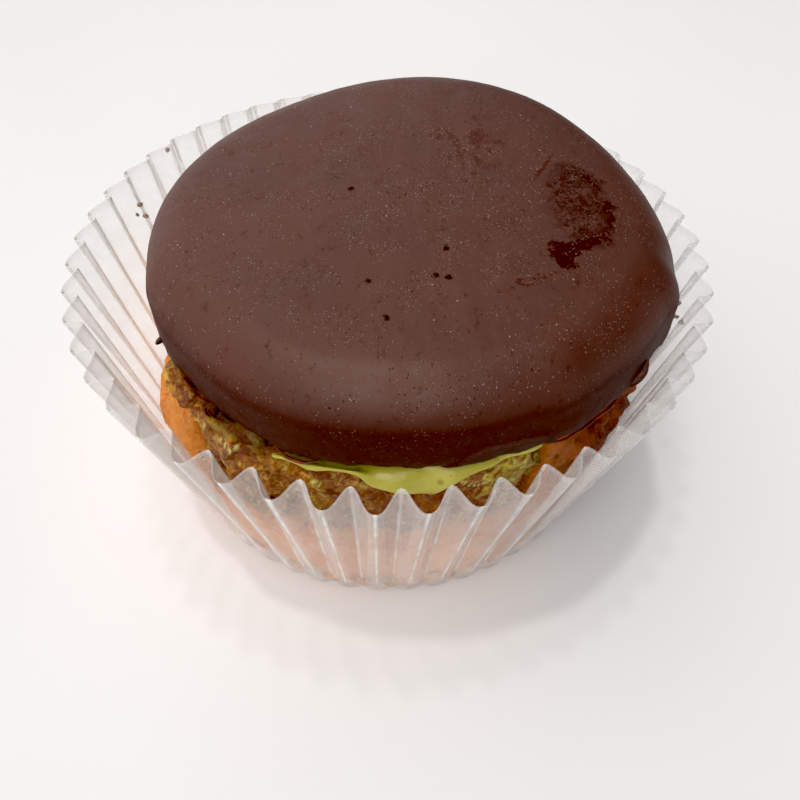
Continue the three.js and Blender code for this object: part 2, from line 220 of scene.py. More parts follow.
def rounded(corners, spacing, cuts=2):
    """Rounds a profile's corners off and spreads its points evenly along it."""
    line = np.array(corners, float)
    for _ in range(cuts):
        near = 0.75 * line[:-1] + 0.25 * line[1:]
        far = 0.25 * line[:-1] + 0.75 * line[1:]
        line = np.concatenate([line[:1], np.stack([near, far], 1).reshape(-1, 2), line[-1:]])
    along = np.concatenate([[0], np.cumsum(np.hypot(*np.diff(line, axis=0).T))])
    even = np.linspace(0, along[-1], round(along[-1] / spacing) + 1)
    return list(zip(np.interp(even, along, line[:, 0]), np.interp(even, along, line[:, 1])))


def spin_up(name, profile, around):
    """A round form: a profile of (radius, height) points, drawn by extrusion and spun."""
    deselect_all()
    radius, height = profile[0]
    bpy.ops.mesh.primitive_plane_add(size=MM, location=(radius * MM, 0, height * MM))
    piece = bpy.context.object
    piece.name = piece.data.name = name
    settle_place(piece)
    edit_all()
    bpy.ops.mesh.merge(type="CENTER")
    for (old_radius, old_height), (radius, height) in zip(profile, profile[1:]):
        step = ((radius - old_radius) * MM, 0, (height - old_height) * MM)
        bpy.ops.mesh.extrude_vertices_move(TRANSFORM_OT_translate={"value": step})
    bpy.ops.mesh.select_all(action="SELECT")
    bpy.ops.mesh.spin(steps=around, angle=2 * math.pi, center=(0, 0, 0), axis=(0, 0, 1))
    bpy.ops.mesh.select_all(action="SELECT")
    bpy.ops.mesh.remove_doubles(threshold=1e-6)
    bpy.ops.mesh.normals_make_consistent(inside=False)
    bpy.ops.object.mode_set(mode="OBJECT")
    return piece


def mesh_points(piece):
    """The points of a piece, in its mesh's own units."""
    points = np.empty(len(piece.data.vertices) * 3, np.float32)
    piece.data.vertices.foreach_get("co", points)
    return points.reshape(-1, 3).astype(float)


def set_mesh_points(piece, points):
    piece.data.vertices.foreach_set("co", points.astype(np.float32).ravel())
    piece.data.update()


def points_of(piece):
    """The points of a piece, in millimetres."""
    return mesh_points(piece) / MM


def reshape(piece, rule):
    """Moves every point of a piece by a rule on its places, in millimetres."""
    set_mesh_points(piece, np.stack(rule(*points_of(piece).T), 1) * MM)


def add_values(piece, name, values):
    """Stores a number at every point of a piece, for its finish."""
    attribute = piece.data.attributes.new(name, "FLOAT", "POINT")
    attribute.data.foreach_set("value", np.asarray(values, np.float32))


def ease(value, low, high):
    share = np.clip((value - low) / (high - low), 0, 1)
    return share * share * (3 - 2 * share)


def degrees_of(x, y):
    return np.degrees(np.arctan2(y, x)) % 360


def polar(radius, degrees, height, centre=COOKIE_CENTRE):
    """A place, or many places, at a distance and an angle from a centre."""
    turn = np.radians(degrees)
    return centre[0] + radius * np.cos(turn), centre[1] + radius * np.sin(turn), height


def ripples(turn, table):
    """A wavy amount round a piece, from a table of (waves, phase, height)."""
    return sum(height * np.sin(waves * turn + phase) for waves, phase, height in table)


def pushed_out(x, y, z, turn, out, up=0):
    """Places moved outwards in the direction of turn, and up."""
    return x + out * np.cos(turn), y + out * np.sin(turn), z + up


def span(degrees, start, end, blend):
    """1 between two angles and 0 outside them, with eased ends."""
    half = blend / 2
    return ease(degrees, start - half, start + half) - ease(degrees, end - half, end + half)


def hill(away, width):
    """1 where away is 0, falling off smoothly to both sides."""
    return np.exp(-((away / width) ** 2))


def lobe(degrees, centre, width):
    """1 at an angle, falling off to both sides of it."""
    return hill((degrees - centre + 540) % 360 - 180, width)


def roughness_at(x, y, z, size, octaves=3, seed=0.0):
    """Smooth noise from about -1 to 1, with features of a given size."""
    places = np.stack([x / size + seed, y / size, z / size], -1).reshape(-1, 3)
    return np.array([noise.fractal(Vector(p), 0.7, 2.1, octaves) for p in places])


# ---------------------------------------------------------------- finishes


def colour(red, green, blue):
    """A screen colour of 0 to 255 as the linear colour that shaders take."""
    values = [v / 255 for v in (red, green, blue)]
    return (*[v / 12.92 if v <= 0.04045 else ((v + 0.055) / 1.055) ** 2.4 for v in values], 1)


class Nodes:
    """Nodes in the making, in a tree of their own."""

    def __init__(self, tree):
        self.tree = tree

    def plug(self, socket, value):
        """Links a socket to another, or sets it to a plain value."""
        if isinstance(value, bpy.types.NodeSocket):
            self.tree.links.new(value, socket)
        else:
            socket.default_value = value

    def add(self, kind, inputs=(), **settings):
        node = self.tree.nodes.new(kind)
        for name, value in settings.items():
            setattr(node, name, value)
        for name, value in dict(inputs).items():
            self.plug(node.inputs[name], value)
        return node

    def ramp(self, value, low, high, start=0, end=1):
        inputs = {"Value": value, "From Min": low, "From Max": high, "To Min": start, "To Max": end}
        return self.add("ShaderNodeMapRange", inputs, clamp=True).outputs["Result"]

    def maths(self, operation, first, second):
        return self.add("ShaderNodeMath", {0: first, 1: second}, operation=operation).outputs[0]

    def times(self, first, second):
        return self.maths("MULTIPLY", first, second)

    def plus(self, first, second):
        return self.maths("ADD", first, second)

    def most(self, first, second):
        return self.maths("MAXIMUM", first, second)

    def along(self, axis, vector):
        """A vector's x, y or z."""
        return self.add("ShaderNodeSeparateXYZ", {0: vector}).outputs["XYZ".index(axis)]


class Finish(Nodes):
    """A material in the making, on the piece's own coordinates in millimetres."""

    def __init__(self, name):
        self.material = bpy.data.materials.new(name)
        self.material.use_nodes = True
        super().__init__(self.material.node_tree)
        self.shader = self.tree.nodes["Principled BSDF"]
        coordinates = self.add("ShaderNodeTexCoord").outputs["Object"]
        self.place = self.moved(coordinates, scale=(1 / MM,) * 3)

    def stored(self, name, output="Fac"):
        """What is stored under a name at the piece's points."""
        return self.add("ShaderNodeAttribute", attribute_name=name).outputs[output]

    def moved(self, place, location=(0, 0, 0), turn=0, scale=(1, 1, 1)):
        inputs = {"Vector": place, "Scale": scale, "Location": location}
        inputs["Rotation"] = (0, 0, math.radians(turn))
        return self.add("ShaderNodeMapping", inputs).outputs["Vector"]

    def grain(self, size, detail=3, rough=0.5, place=None, distortion=0):
        inputs = {"Vector": place or self.place, "Scale": 1 / size, "Detail": detail}
        inputs.update({"Roughness": rough, "Distortion": distortion})
        return self.add("ShaderNodeTexNoise", inputs).outputs["Fac"]

    def blend(self, share, first, second):
        mixer = self.add("ShaderNodeMix", data_type="RGBA")
        for name, value in (("Factor_Float", share), ("A_Color", first), ("B_Color", second)):
            self.plug(next(s for s in mixer.inputs if s.identifier == name), value)
        return next(s for s in mixer.outputs if s.identifier == "Result_Color")

    def over(self, body, share, strength, tint):
        """The body's colour with a tint laid over a share of it."""
        return self.blend(self.times(share, strength), body, colour(*tint))

    def warped(self, amount, size):
        """The piece's coordinates, pushed about by slow noise, for ragged borders."""
        noise_at = self.add("ShaderNodeTexNoise", {"Vector": self.place, "Scale": 1 / size, "Detail": 4})
        shift = self.vectors("SUBTRACT", {0: noise_at.outputs["Color"], 1: (0.5, 0.5, 0.5)})
        push = self.vectors("SCALE", {0: shift, "Scale": amount * 2})
        return self.vectors("ADD", {0: self.place, 1: push})

    def vectors(self, operation, inputs, output=0):
        return self.add("ShaderNodeVectorMath", inputs, operation=operation).outputs[output]

    def oval(self, place, centre, half, turn=0):
        """0 in the middle of an oval seen from above, 1 on its border."""
        shifted = self.moved(place, location=(-centre[0], -centre[1], 0))
        flat = self.moved(self.moved(shifted, turn=-turn), scale=(1 / half[0], 1 / half[1], 0))
        return self.vectors("LENGTH", {0: flat}, "Value")

    def patch(self, centre, half, turn=0, soft=0.5, ragged=0):
        """1 inside an oval seen from above and 0 outside it."""
        away = self.oval(self.place, centre, half, turn)
        if ragged:
            rough = self.times(self.ramp(self.grain(1.6, 4, 0.65), 0.3, 0.7, -1, 1), ragged)
            away = self.plus(away, rough)
        return self.ramp(away, 1, 1 - soft)

    def nearest(self, places, start):
        """How far the nearest of some places is, seen from above."""
        ways = []
        for x, y in places:
            flat = self.moved(self.moved(start, location=(-x, -y, 0)), scale=(1, 0.75, 0))
            ways.append(self.vectors("LENGTH", {0: flat}, "Value"))
        least = ways[0]
        for way in ways[1:]:
            least = self.maths("MINIMUM", least, way)
        return least

    def specks(self, size, share, radius, density=None):
        """1 on small round dots: share of the cells of a size hold one."""
        cells = self.add("ShaderNodeTexVoronoi", {"Vector": self.place, "Scale": 1 / size})
        drawn = self.add("ShaderNodeSeparateColor", {"Color": cells.outputs["Color"]}).outputs[0]
        if density is None:
            chosen = self.ramp(drawn, 1 - share, 1 - share + 0.01)
        else:
            drawn = self.plus(drawn, self.times(density, share))
            chosen = self.ramp(drawn, 1, 1.01)
        dot = self.ramp(cells.outputs["Distance"], radius, radius * 0.5)
        return self.times(chosen, dot)

    def bump(self, height, distance, strength):
        inputs = {"Height": height, "Distance": distance * MM, "Strength": strength}
        return self.add("ShaderNodeBump", inputs).outputs["Normal"]

    def set(self, **values):
        for name, value in values.items():
            self.plug(self.shader.inputs[name.replace("_", " ")], value)


def chocolate_finish():
    """Satin dark coat: fine grain with pale specks that are partly bloom and partly painted glints,
    pinholes and slots with painted shade in them, a wet stain and fainter blotches, a painted reflection
    along the lower edge and painted shade on the sides.
    """
    f = Finish("satin_dark_chocolate")
    slow = f.ramp(f.grain(14, 3), 0.35, 0.65)
    coat = f.blend(slow, colour(74, 36, 26), colour(82, 41, 30))
    fine = f.ramp(f.grain(0.3, 3, 0.6), 0.3, 0.7)
    coat = f.over(coat, fine, 0.2, (104, 62, 48))
    crowd = f.patch(*SPECKLED_MIDDLE, soft=0.9, ragged=0.35)
    long = f.moved(f.place, scale=(1, 0.6, 1))
    pores = f.ramp(f.grain(0.6, 4, 0.7, long), 0.55, 0.66)
    blotch = f.times(pores, f.ramp(f.grain(5, 3), 0.4, 0.62, 0.15, 1))
    blotch = f.times(f.times(blotch, crowd), 0.4)

    bent = f.warped(1.7, 1.5)
    away = f.oval(bent, *WET_STAIN)
    rim = f.times(f.ramp(away, 0.5, 0.9), f.ramp(away, 1.15, 1.0))
    inside = f.ramp(away, 1.15, 0.8)
    vein = f.ramp(f.grain(0.85, 4, 0.7, f.moved(bent, scale=(1, 0.7, 1)), 0.8), 0.42, 0.54)
    rim = f.times(rim, f.most(vein, f.ramp(f.grain(2.4, 3), 0.46, 0.56)))
    rim = f.times(rim, f.ramp(f.along("X", bent), 18.5, 23, 0.2, 1))
    fleck = f.ramp(f.grain(0.6, 4, 0.7), 0.43, 0.5)
    tail = f.oval(f.warped(2.0, 1.8), *WET_TAIL)
    band = f.oval(f.warped(2.0, 1.8), *WET_BAND)
    near = f.maths("MINIMUM", tail, band)
    tail = f.most(f.times(f.ramp(near, 1.1, 0.95), fleck), f.ramp(near, 0.9, 0.75))
    wet = f.times(f.times(inside, vein), 0.85)
    wet = f.most(wet, f.most(rim, tail))
    faint = f.oval(f.warped(4.5, 4.0), *FAINT_BLOTCH)
    faint = f.plus(f.grain(1.2, 5, 0.75, long), f.ramp(faint, 1.1, 0.1, 0, 0.16))
    faint = f.ramp(faint, 0.58, 0.7)
    streak = f.ramp(f.oval(f.warped(0.9, 2.0), *THIN_STREAK), 1.3, 0.6)
    dotted = f.ramp(f.oval(bent, *DOTTED_STREAK), 1.3, 0.7)
    dotted = f.times(dotted, f.ramp(f.grain(0.4, 3, 0.6), 0.5, 0.6))
    streak = f.most(f.times(streak, 0.7), f.times(dotted, 0.8))
    marks = f.most(f.times(faint, 0.6), streak)
    marks = f.most(marks, blotch)
    coat = f.blend(marks, coat, colour(72, 28, 16))
    coat = f.over(coat, wet, 0.9, (56, 20, 12))

    crowded = f.ramp(f.grain(4, 3), 0.4, 0.62, 0.04, 1.0)
    crowded = f.times(crowded, f.ramp(crowd, 0, 1, 0.4, 1.0))
    # Pale specks: partly real bloom on the coat, partly painted glints.
    pale = f.specks(0.45, 0.55, 0.24, crowded)
    hazy = f.times(f.specks(0.24, 0.6, 0.36, crowded), 0.7)
    bright = f.times(f.specks(0.85, 0.25, 0.17, crowded), 1.5)
    pale = f.most(f.most(pale, hazy), bright)
    dark = f.most(f.specks(0.7, 0.2, 0.2, crowded), f.specks(0.3, 0.45, 0.3, crowded))
    # Painted shade: the pinholes are painted dark inside.
    holes = f.ramp(f.nearest(LID_PINHOLES, f.warped(0.5, 0.6)), 0.45, 0.2)
    coat = f.over(coat, dark, 0.5, (50, 20, 13))
    coat = f.over(coat, pale, 0.36, (212, 184, 170))
    coat = f.over(coat, holes, 0.9, (44, 14, 9))
    layer = f.stored("layer")
    coat = f.over(coat, layer, 0.7, (84, 60, 48))
    # Painted reflection: a paler, greyish band along the coat's lower edge.
    low = f.ramp(f.along("Z", f.warped(0.3, 1.5)), LID_BOTTOM + 1.5, LID_BOTTOM + 0.5)
    coat = f.over(coat, low, 0.35, (104, 72, 58))
    # Painted shade: the slots where the coat lifted off are painted near black.
    slot = f.stored("slot")
    coat = f.over(coat, slot, 0.9, (30, 10, 6))

    still = f.most(f.most(wet, marks), f.most(dark, holes))
    still = f.most(still, slot)
    upward = f.along("Z", f.add("ShaderNodeNewGeometry").outputs["Normal"])
    sheen = f.times(f.ramp(still, 0, 1, 1, 0.12), f.ramp(upward, 0.2, 0.6, 0.14, 1))
    sheen = f.times(sheen, LID_SHEEN)
    # Painted shade: the coat is darker where its surface turns away from overhead, on the sides and
    # below.
    coat = f.blend(f.ramp(upward, 0.5, 0.1, 0, 0.35), coat, colour(54, 24, 17))
    shine = f.ramp(f.grain(3.5, 4), 0.3, 0.7, 0.48, 0.58)
    height = f.plus(f.grain(0.32, 4, 0.65), f.times(pale, 1.6))
    height = f.plus(height, f.times(layer, f.grain(0.5, 4, 0.7)))
    height = f.maths("SUBTRACT", height, f.times(f.most(dark, holes), 2.5))
    f.set(Base_Color=coat, Roughness=shine, Normal=f.bump(height, 0.06, 0.6))
    f.set(Specular_IOR_Level=sheen, Specular_Tint=(1.0, 0.86, 0.77, 1))
    return f.material


def thin_coat_finish():
    """Coat so thin at its edge that it looks reddish."""
    f = Finish("thin_reddish_coat")
    tone = f.ramp(f.grain(1.4, 3), 0.35, 0.65)
    coat = f.blend(tone, colour(92, 32, 14), colour(138, 58, 28))
    f.set(Base_Color=coat, Roughness=0.35, Normal=f.bump(f.grain(0.5, 3), 0.05, 0.4))
    f.set(Specular_IOR_Level=0.4, Subsurface_Weight=0.3, Subsurface_Scale=0.001)
    return f.material


def cookie_finish():
    """Golden crumb, toasted darker in patches, with small open pores that hold painted shade, and
    painted shade of darker red-brown over its right side.
    """
    f = Finish("baked_golden_cookie")
    slow = f.ramp(f.grain(7, 4, 0.55), 0.35, 0.68)
    crust = f.blend(slow, colour(238, 156, 74), colour(220, 130, 50))
    right = f.ramp(f.along("X", f.place), 8, 24)
    toast = f.ramp(f.grain(2.6, 5, 0.6), 0.54, 0.72)
    crust = f.over(crust, toast, 0.5, (176, 92, 36))
    crumb = f.ramp(f.grain(0.9, 5, 0.75), 0.5, 0.66)
    crust = f.over(crust, crumb, 0.55, (252, 190, 116))
    dark = f.ramp(f.grain(0.7, 4, 0.7, f.moved(f.place, location=(9, 4, 2))), 0.56, 0.68)
    crust = f.over(crust, dark, 0.6, (176, 84, 26))
    # Painted shade: the right side, under the lid's overhang, turns a darker red-brown, with streaks and
    # warmer flecks in it.
    streaked = f.ramp(f.grain(2.0, 4, 0.6, f.moved(f.place, scale=(1, 1, 0.6))), 0.42, 0.6)
    shaded_right_crust = f.blend(streaked, colour(134, 58, 15), colour(88, 29, 6))
    warm = f.ramp(f.grain(0.8, 3, 0.6), 0.55, 0.7)
    shaded_right_crust = f.over(shaded_right_crust, warm, 0.5, (196, 112, 44))
    crust = f.blend(f.times(right, 0.96), crust, shaded_right_crust)
    # Painted shade: the pores are painted darker inside.
    holes = f.specks(1.5, 0.25, 0.24)
    crust = f.over(crust, holes, 0.5, (120, 56, 18))
    height = f.plus(f.grain(0.8, 5, 0.65), f.times(f.grain(3.2, 3), 1.4))
    height = f.maths("SUBTRACT", height, f.times(holes, 0.8))
    rough = f.ramp(f.grain(1.5, 3), 0.3, 0.7, 0.5, 0.75)
    f.set(Base_Color=crust, Roughness=rough, Normal=f.bump(height, 0.45, 0.9), Specular_IOR_Level=0.35)
    return f.material


def crumbly_finish(name, browning_and_pit_shade=1.0):
    """Shreds and crumbs, each in its own tint, with brown stains and slightly oily; lighter golden
    patches that are partly painted highlights, and painted shade in pits and where the mass lies deeper
    in.
    """
    f = Finish(name)
    body = f.stored("tint", "Color")
    stain = f.ramp(f.grain(1.5, 5, 0.65), 0.42, 0.6)
    body = f.over(body, stain, 0.65 * browning_and_pit_shade, (128, 60, 12))
    # Lighter golden patches: partly real colour, partly painted highlights.
    light = f.ramp(f.grain(0.5, 4, 0.65), 0.5, 0.66)
    body = f.over(body, light, 0.45, (230, 184, 84))
    # Painted shade: pits in the mass are painted dark brown.
    pit = f.ramp(f.grain(0.9, 5, 0.7, f.moved(f.place, location=(5, 2, 8))), 0.44, 0.34)
    body = f.over(body, pit, 0.5 * browning_and_pit_shade, (84, 34, 6))
    # Painted shade: places that lie deeper in than the filling's front are painted darker.
    sunk = f.stored("sunk")
    body = f.over(body, sunk, 0.75, (92, 36, 6))
    height = f.grain(0.35, 4, 0.65)
    f.set(Base_Color=body, Roughness=f.ramp(height, 0.3, 0.7, 0.32, 0.55))
    f.set(Normal=f.bump(height, 0.4, 1.0), Specular_IOR_Level=0.5)
    return f.material


def shade_finish():
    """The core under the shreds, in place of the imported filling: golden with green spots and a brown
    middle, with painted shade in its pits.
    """
    f = Finish("packed_filling_shade")
    body = f.blend(f.ramp(f.grain(1.6, 4, 0.6), 0.4, 0.6), colour(128, 82, 22), colour(168, 122, 50))
    spot = f.ramp(f.grain(2.4, 3), 0.55, 0.66)
    body = f.over(body, spot, 0.6, (138, 112, 34))
    middle = f.patch((2.5, -31), (10, 5), soft=0.4, ragged=0.3)
    low = f.ramp(f.along("Z", f.place), 27, 24.5)
    body = f.blend(f.times(middle, low), body, colour(116, 58, 18))
    # Painted shade: the pits are painted dark.
    pits = f.ramp(f.grain(1.0, 4, 0.6), 0.46, 0.38)
    body = f.over(body, pits, 0.8, (62, 28, 8))
    f.set(Base_Color=body, Roughness=0.5, Normal=f.bump(f.grain(0.5, 4, 0.65), 0.25, 0.8))
    return f.material


def cream_finish():
    """Smooth nut cream with ground nut in it, browner where it thins out low down."""
    f = Finish("smooth_green_nut_cream")
    slow = f.ramp(f.grain(5, 3), 0.35, 0.65)
    body = f.blend(slow, colour(202, 192, 90), colour(190, 180, 76))
    height = f.along("Z", f.warped(0.8, 1.6))
    body = f.blend(f.ramp(height, 26.2, 24.2, 0, 0.8), body, colour(164, 108, 36))
    nut = f.specks(1.9, 0.4, 0.3)
    body = f.over(body, nut, 0.6, (118, 120, 26))
    fine = f.specks(0.7, 0.2, 0.22)
    body = f.over(body, fine, 0.4, (126, 120, 34))
    relief = f.plus(f.grain(1.8, 3, 0.5), f.times(f.grain(0.4, 3), 0.25))
    f.set(Base_Color=body, Roughness=f.ramp(f.grain(2, 3), 0.3, 0.7, 0.32, 0.48))
    f.set(Normal=f.bump(relief, 0.2, 0.5), Subsurface_Weight=0.2, Subsurface_Scale=0.001)
    return f.material


def film_finish():
    """Clear film with a slight milky haze, less clear where it turns away and at its cut rim, and whiter
    along its folds, partly as crease haze and partly as painted glints.
    """
    f = Finish("milky_clear_film")
    haze = f.ramp(f.grain(3.5, 4, 0.6), 0.3, 0.7)
    body = f.blend(haze, colour(238, 234, 230), colour(248, 245, 242))
    wrinkles = f.grain(0.9, 4, 0.6, f.moved(f.place, scale=(1, 1, 0.4)))
    f.set(Base_Color=body, Roughness=f.ramp(haze, 0, 1, 0.05, 0.1))
    f.set(Normal=f.bump(wrinkles, 0.08, 0.12), Specular_IOR_Level=1.0)
    turned = f.add("ShaderNodeLayerWeight", {"Blend": 0.5}).outputs["Facing"]
    milk = f.ramp(f.maths("POWER", turned, 2.0), 0, 1, 0.09, 0.48)
    milk = f.plus(milk, f.times(f.maths("POWER", turned, 8.0), 0.3))
    # Whiter fold lines: partly crease haze in the film, partly painted glints.
    crease = f.stored("crease")
    broken = f.ramp(f.grain(4.0, 3, 0.6), 0.35, 0.6, 0.25, 1)
    milk = f.plus(milk, f.times(f.times(crease, broken), 0.5))
    rim = f.stored("rim")
    milk = f.plus(milk, f.times(rim, 0.12))
    milk = f.plus(milk, f.ramp(haze, 0, 1, -0.03, 0.03))
    height = f.along("Z", f.place)
    milk = f.times(milk, f.ramp(height, 2.0, 5.0, 0.5, 1))
    passing = f.add("ShaderNodeLightPath").outputs["Is Shadow Ray"]
    milk = f.times(milk, f.ramp(passing, 0, 1, 1, FILM_SHADE))
    clear = f.add("ShaderNodeBsdfTransparent")
    both = f.add("ShaderNodeMixShader", {0: milk, 1: clear.outputs[0], 2: f.shader.outputs[0]})
    output = f.tree.nodes["Material Output"]
    f.tree.links.new(both.outputs[0], output.inputs["Surface"])
    return f.material


def floor_finish():
    f = Finish("pale_floor")
    tint = f.blend(f.ramp(f.grain(90, 2), 0.3, 0.7), colour(236, 232, 230), colour(239, 236, 234))
    f.set(Base_Color=tint, Roughness=0.5, Specular_IOR_Level=0.08)
    return f.material


# ---------------------------------------------------------------- pieces


def finish_piece(piece, material, slot, *nodes):
    """Gives a piece its finish, says what it rides on and hides the parts it replaces. Its slot is not
    used.
    """
    piece.data.materials.clear()
    piece.data.materials.append(material)
    settle_place(piece)
    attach(piece, "root")
    if nodes:
        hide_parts(*nodes)


def make_cup():
    """The pleated cup: a flat base, a small rounded corner and a folded wall of thin film."""
    wall_steps = 26
    rings = [(0, 0), (10, 0), (20, 0), (27, 0), (CUP_BASE_RADIUS - CUP_CORNER, 0)]
    for degrees in (35, 65, 90):
        turn = math.radians(degrees)
        inward = CUP_CORNER * (1 - math.sin(turn))
        rings.append((CUP_BASE_RADIUS - inward, CUP_CORNER * (1 - math.cos(turn))))
    for step in range(1, wall_steps + 1):
        share = step / wall_steps
        radius = CUP_BASE_RADIUS + (CUP_RIM_RADIUS - CUP_BASE_RADIUS) * share
        rings.append((radius, CUP_CORNER + (CUP_HEIGHT - CUP_CORNER) * share))
    cup = spin_up("pleated_cup", rings, PLEATS * CUP_STEPS_PER_PLEAT)

    def fold(x, y, z):
        turned = np.arctan2(y, x)
        radius = np.hypot(x, y)
        rise = np.clip((z - CUP_CORNER) / (CUP_HEIGHT - CUP_CORNER), 0, 1)
        even = turned + math.radians(CUP_FIRST_FOLD)
        angle = even + CUP_FOLD_CROWDING[0] * np.cos(even) + CUP_FOLD_CROWDING[1] * np.sin(even)
        wave = PLEATS * turned
        folded = np.cos(wave) - 0.14 * np.cos(2 * wave)
        depth = CUP_BASE_FOLD + (CUP_RIM_FOLD - CUP_BASE_FOLD) * rise
        depth = depth * (1 + ripples(even, CUP_FOLD_RIPPLES)) * ease(radius, 24, 30)
        oval = CUP_OVAL[0] * np.cos(2 * angle) + CUP_OVAL[1] * np.sin(2 * angle)
        reach = (radius + depth * folded) * (1 + rise * oval)
        tilt = CUP_RIM_TILT[0] * np.cos(angle) + CUP_RIM_TILT[1] * np.sin(angle)
        lift = rise * (tilt - CUP_FOLD_DROP * folded)
        shift = CUP_BASE_SHIFT * (1 - z / CUP_HEIGHT)
        return reach * np.cos(angle) + shift, reach * np.sin(angle), z + lift

    flat_x, flat_y, flat_z = points_of(cup).T
    rim = ease(flat_z, CUP_HEIGHT - 0.35, CUP_HEIGHT)
    wave = np.cos(PLEATS * np.arctan2(flat_y, flat_x))
    # Fold tips, which the film's finish makes whiter: partly crease haze, partly painted glints.
    crease = ease(wave, 0.95, 1) + 0.6 * ease(-wave, 0.95, 1)
    crease = crease * ease(np.hypot(flat_x, flat_y), 30, 33)
    reshape(cup, fold)
    add_values(cup, "rim", rim)
    add_values(cup, "crease", crease)
    apply_modifier(cup, "SOLIDIFY", thickness=CUP_FILM * MM, offset=-1)
    smooth_faces(cup, 50)
    finish_piece(cup, film_finish(), "clear_film", "clear_cup")


def spill_at(degrees, inset):
    """1 at the spills, made narrower by an inset at both ends."""
    reach = [span(degrees, start + inset, end - inset, blend) for start, end, blend in SPILLS]
    return np.max(reach, axis=0)


def make_cookie():
    """The golden cookie: a thick base with a wall, which is cut down at the open front."""
    middle = (COOKIE_BOTTOM + COOKIE_FLOOR) / 2
    rings = [
        (0, COOKIE_BOTTOM),
        (COOKIE_FOOT - 1.2, COOKIE_BOTTOM),
        (COOKIE_FOOT - 0.3, COOKIE_BOTTOM + 0.3),
        (COOKIE_FOOT + 0.1, COOKIE_BOTTOM + 1.3),
        (COOKIE_FOOT + 0.8, middle - 2),
        (COOKIE_RADIUS - 1.8, middle + 2.5),
        (COOKIE_RADIUS - 0.8, COOKIE_FLOOR - 0.5),
        (COOKIE_RADIUS + 0.1, COOKIE_FLOOR + 3.5),
        (COOKIE_RADIUS - 0.2, COOKIE_FLOOR + 7),
        (COOKIE_RADIUS - 0.9, COOKIE_FLOOR + 10.5),
        (COOKIE_RADIUS - 1.6, COOKIE_TOP - 0.9),
        (COOKIE_RADIUS - 2.8, COOKIE_TOP + 0.1),
        (COOKIE_HOLLOW + 0.6, COOKIE_TOP - 0.4),
        (COOKIE_HOLLOW + 0.1, COOKIE_TOP - 1.5),
        (COOKIE_HOLLOW, COOKIE_FLOOR + 1),
        (COOKIE_HOLLOW - 0.8, COOKIE_FLOOR),
        (0, COOKIE_FLOOR),
    ]
    cookie = spin_up("golden_cookie", rounded(rings, 0.52), 420)

    def bake(x, y, z):
        degrees = degrees_of(x, y)
        radius = np.hypot(x, y)
        above = np.maximum(0, z - COOKIE_FLOOR)
        wall = (radius > COOKIE_HOLLOW - 0.3) * 1.0
        outside = (radius > COOKIE_HOLLOW + 1) * (z > COOKIE_BOTTOM + 0.1)
        opening = 0.92 * span(degrees, OPENING[0], OPENING[1], 4) * wall
        at, width, depth = LEFT_DIP
        dip = SPILL_DIP * np.maximum(spill_at(degrees, 0), lobe(degrees, *SPILL_DIP_END))
        dip = dip + depth * lobe(degrees, at, width)
        dip = dip * wall * ease(above, 6, 12)
        flat = sum(
            depth * lobe(degrees, at, width) * ease(z, low, high)
            for at, width, depth, low, high in COOKIE_FLATS
        )
        flat = flat * np.clip((radius - COOKIE_HOLLOW - 0.3) / 4.5, 0, 1)
        at, width, slope = LEFT_DIP_SLOPE
        dip = dip + slope * lobe(degrees, at, width) * wall * np.maximum(0, z - 18)
        sunk = 0.9 * opening * (above > 0) * outside
        reach = radius - flat - sunk
        level = np.minimum(z, COOKIE_FLOOR) + above * (1 - opening) - dip
        shift = COOKIE_FOOT_SHIFT * np.maximum(0, 1 - z / COOKIE_FLOOR)
        return polar(reach, degrees, level, (COOKIE_CENTRE[0] + shift, COOKIE_CENTRE[1]))

    def crumble(x, y, z):
        lumps = 0.32 * roughness_at(x, y, z, 3.0, 3) + 0.24 * roughness_at(x, y, z, 1.3, 2)
        left, right, low, high, depth = COOKIE_LUMPS
        rougher = depth * ease(x, left, right) * ease(z, low, high)
        lumps = lumps + rougher * roughness_at(x, y, z, 3.2, 2, seed=7)
        outside = ease(z, COOKIE_BOTTOM + 0.1, COOKIE_BOTTOM + 1)
        moved = lumps * outside
        return pushed_out(x, y, z, np.arctan2(y, x - COOKIE_CENTRE[0]), moved, moved * ease(z, 20, 26))

    reshape(cookie, bake)
    reshape(cookie, crumble)
    smooth_faces(cookie, 80)
    finish_piece(cookie, cookie_finish(), "baked_cookie", "base_cookie")


def by_angle(degrees, table):
    """A value read off a table of (angle, value) pairs, level outside it."""
    return np.interp(degrees, [angle for angle, _ in table], [value for _, value in table])


def cream_hang(degrees):
    """How far the cream hangs, with the table's corners eased."""
    return sum(by_angle(degrees + step, CREAM_HANG) for step in (-0.8, -0.4, 0, 0.4, 0.8)) / 5


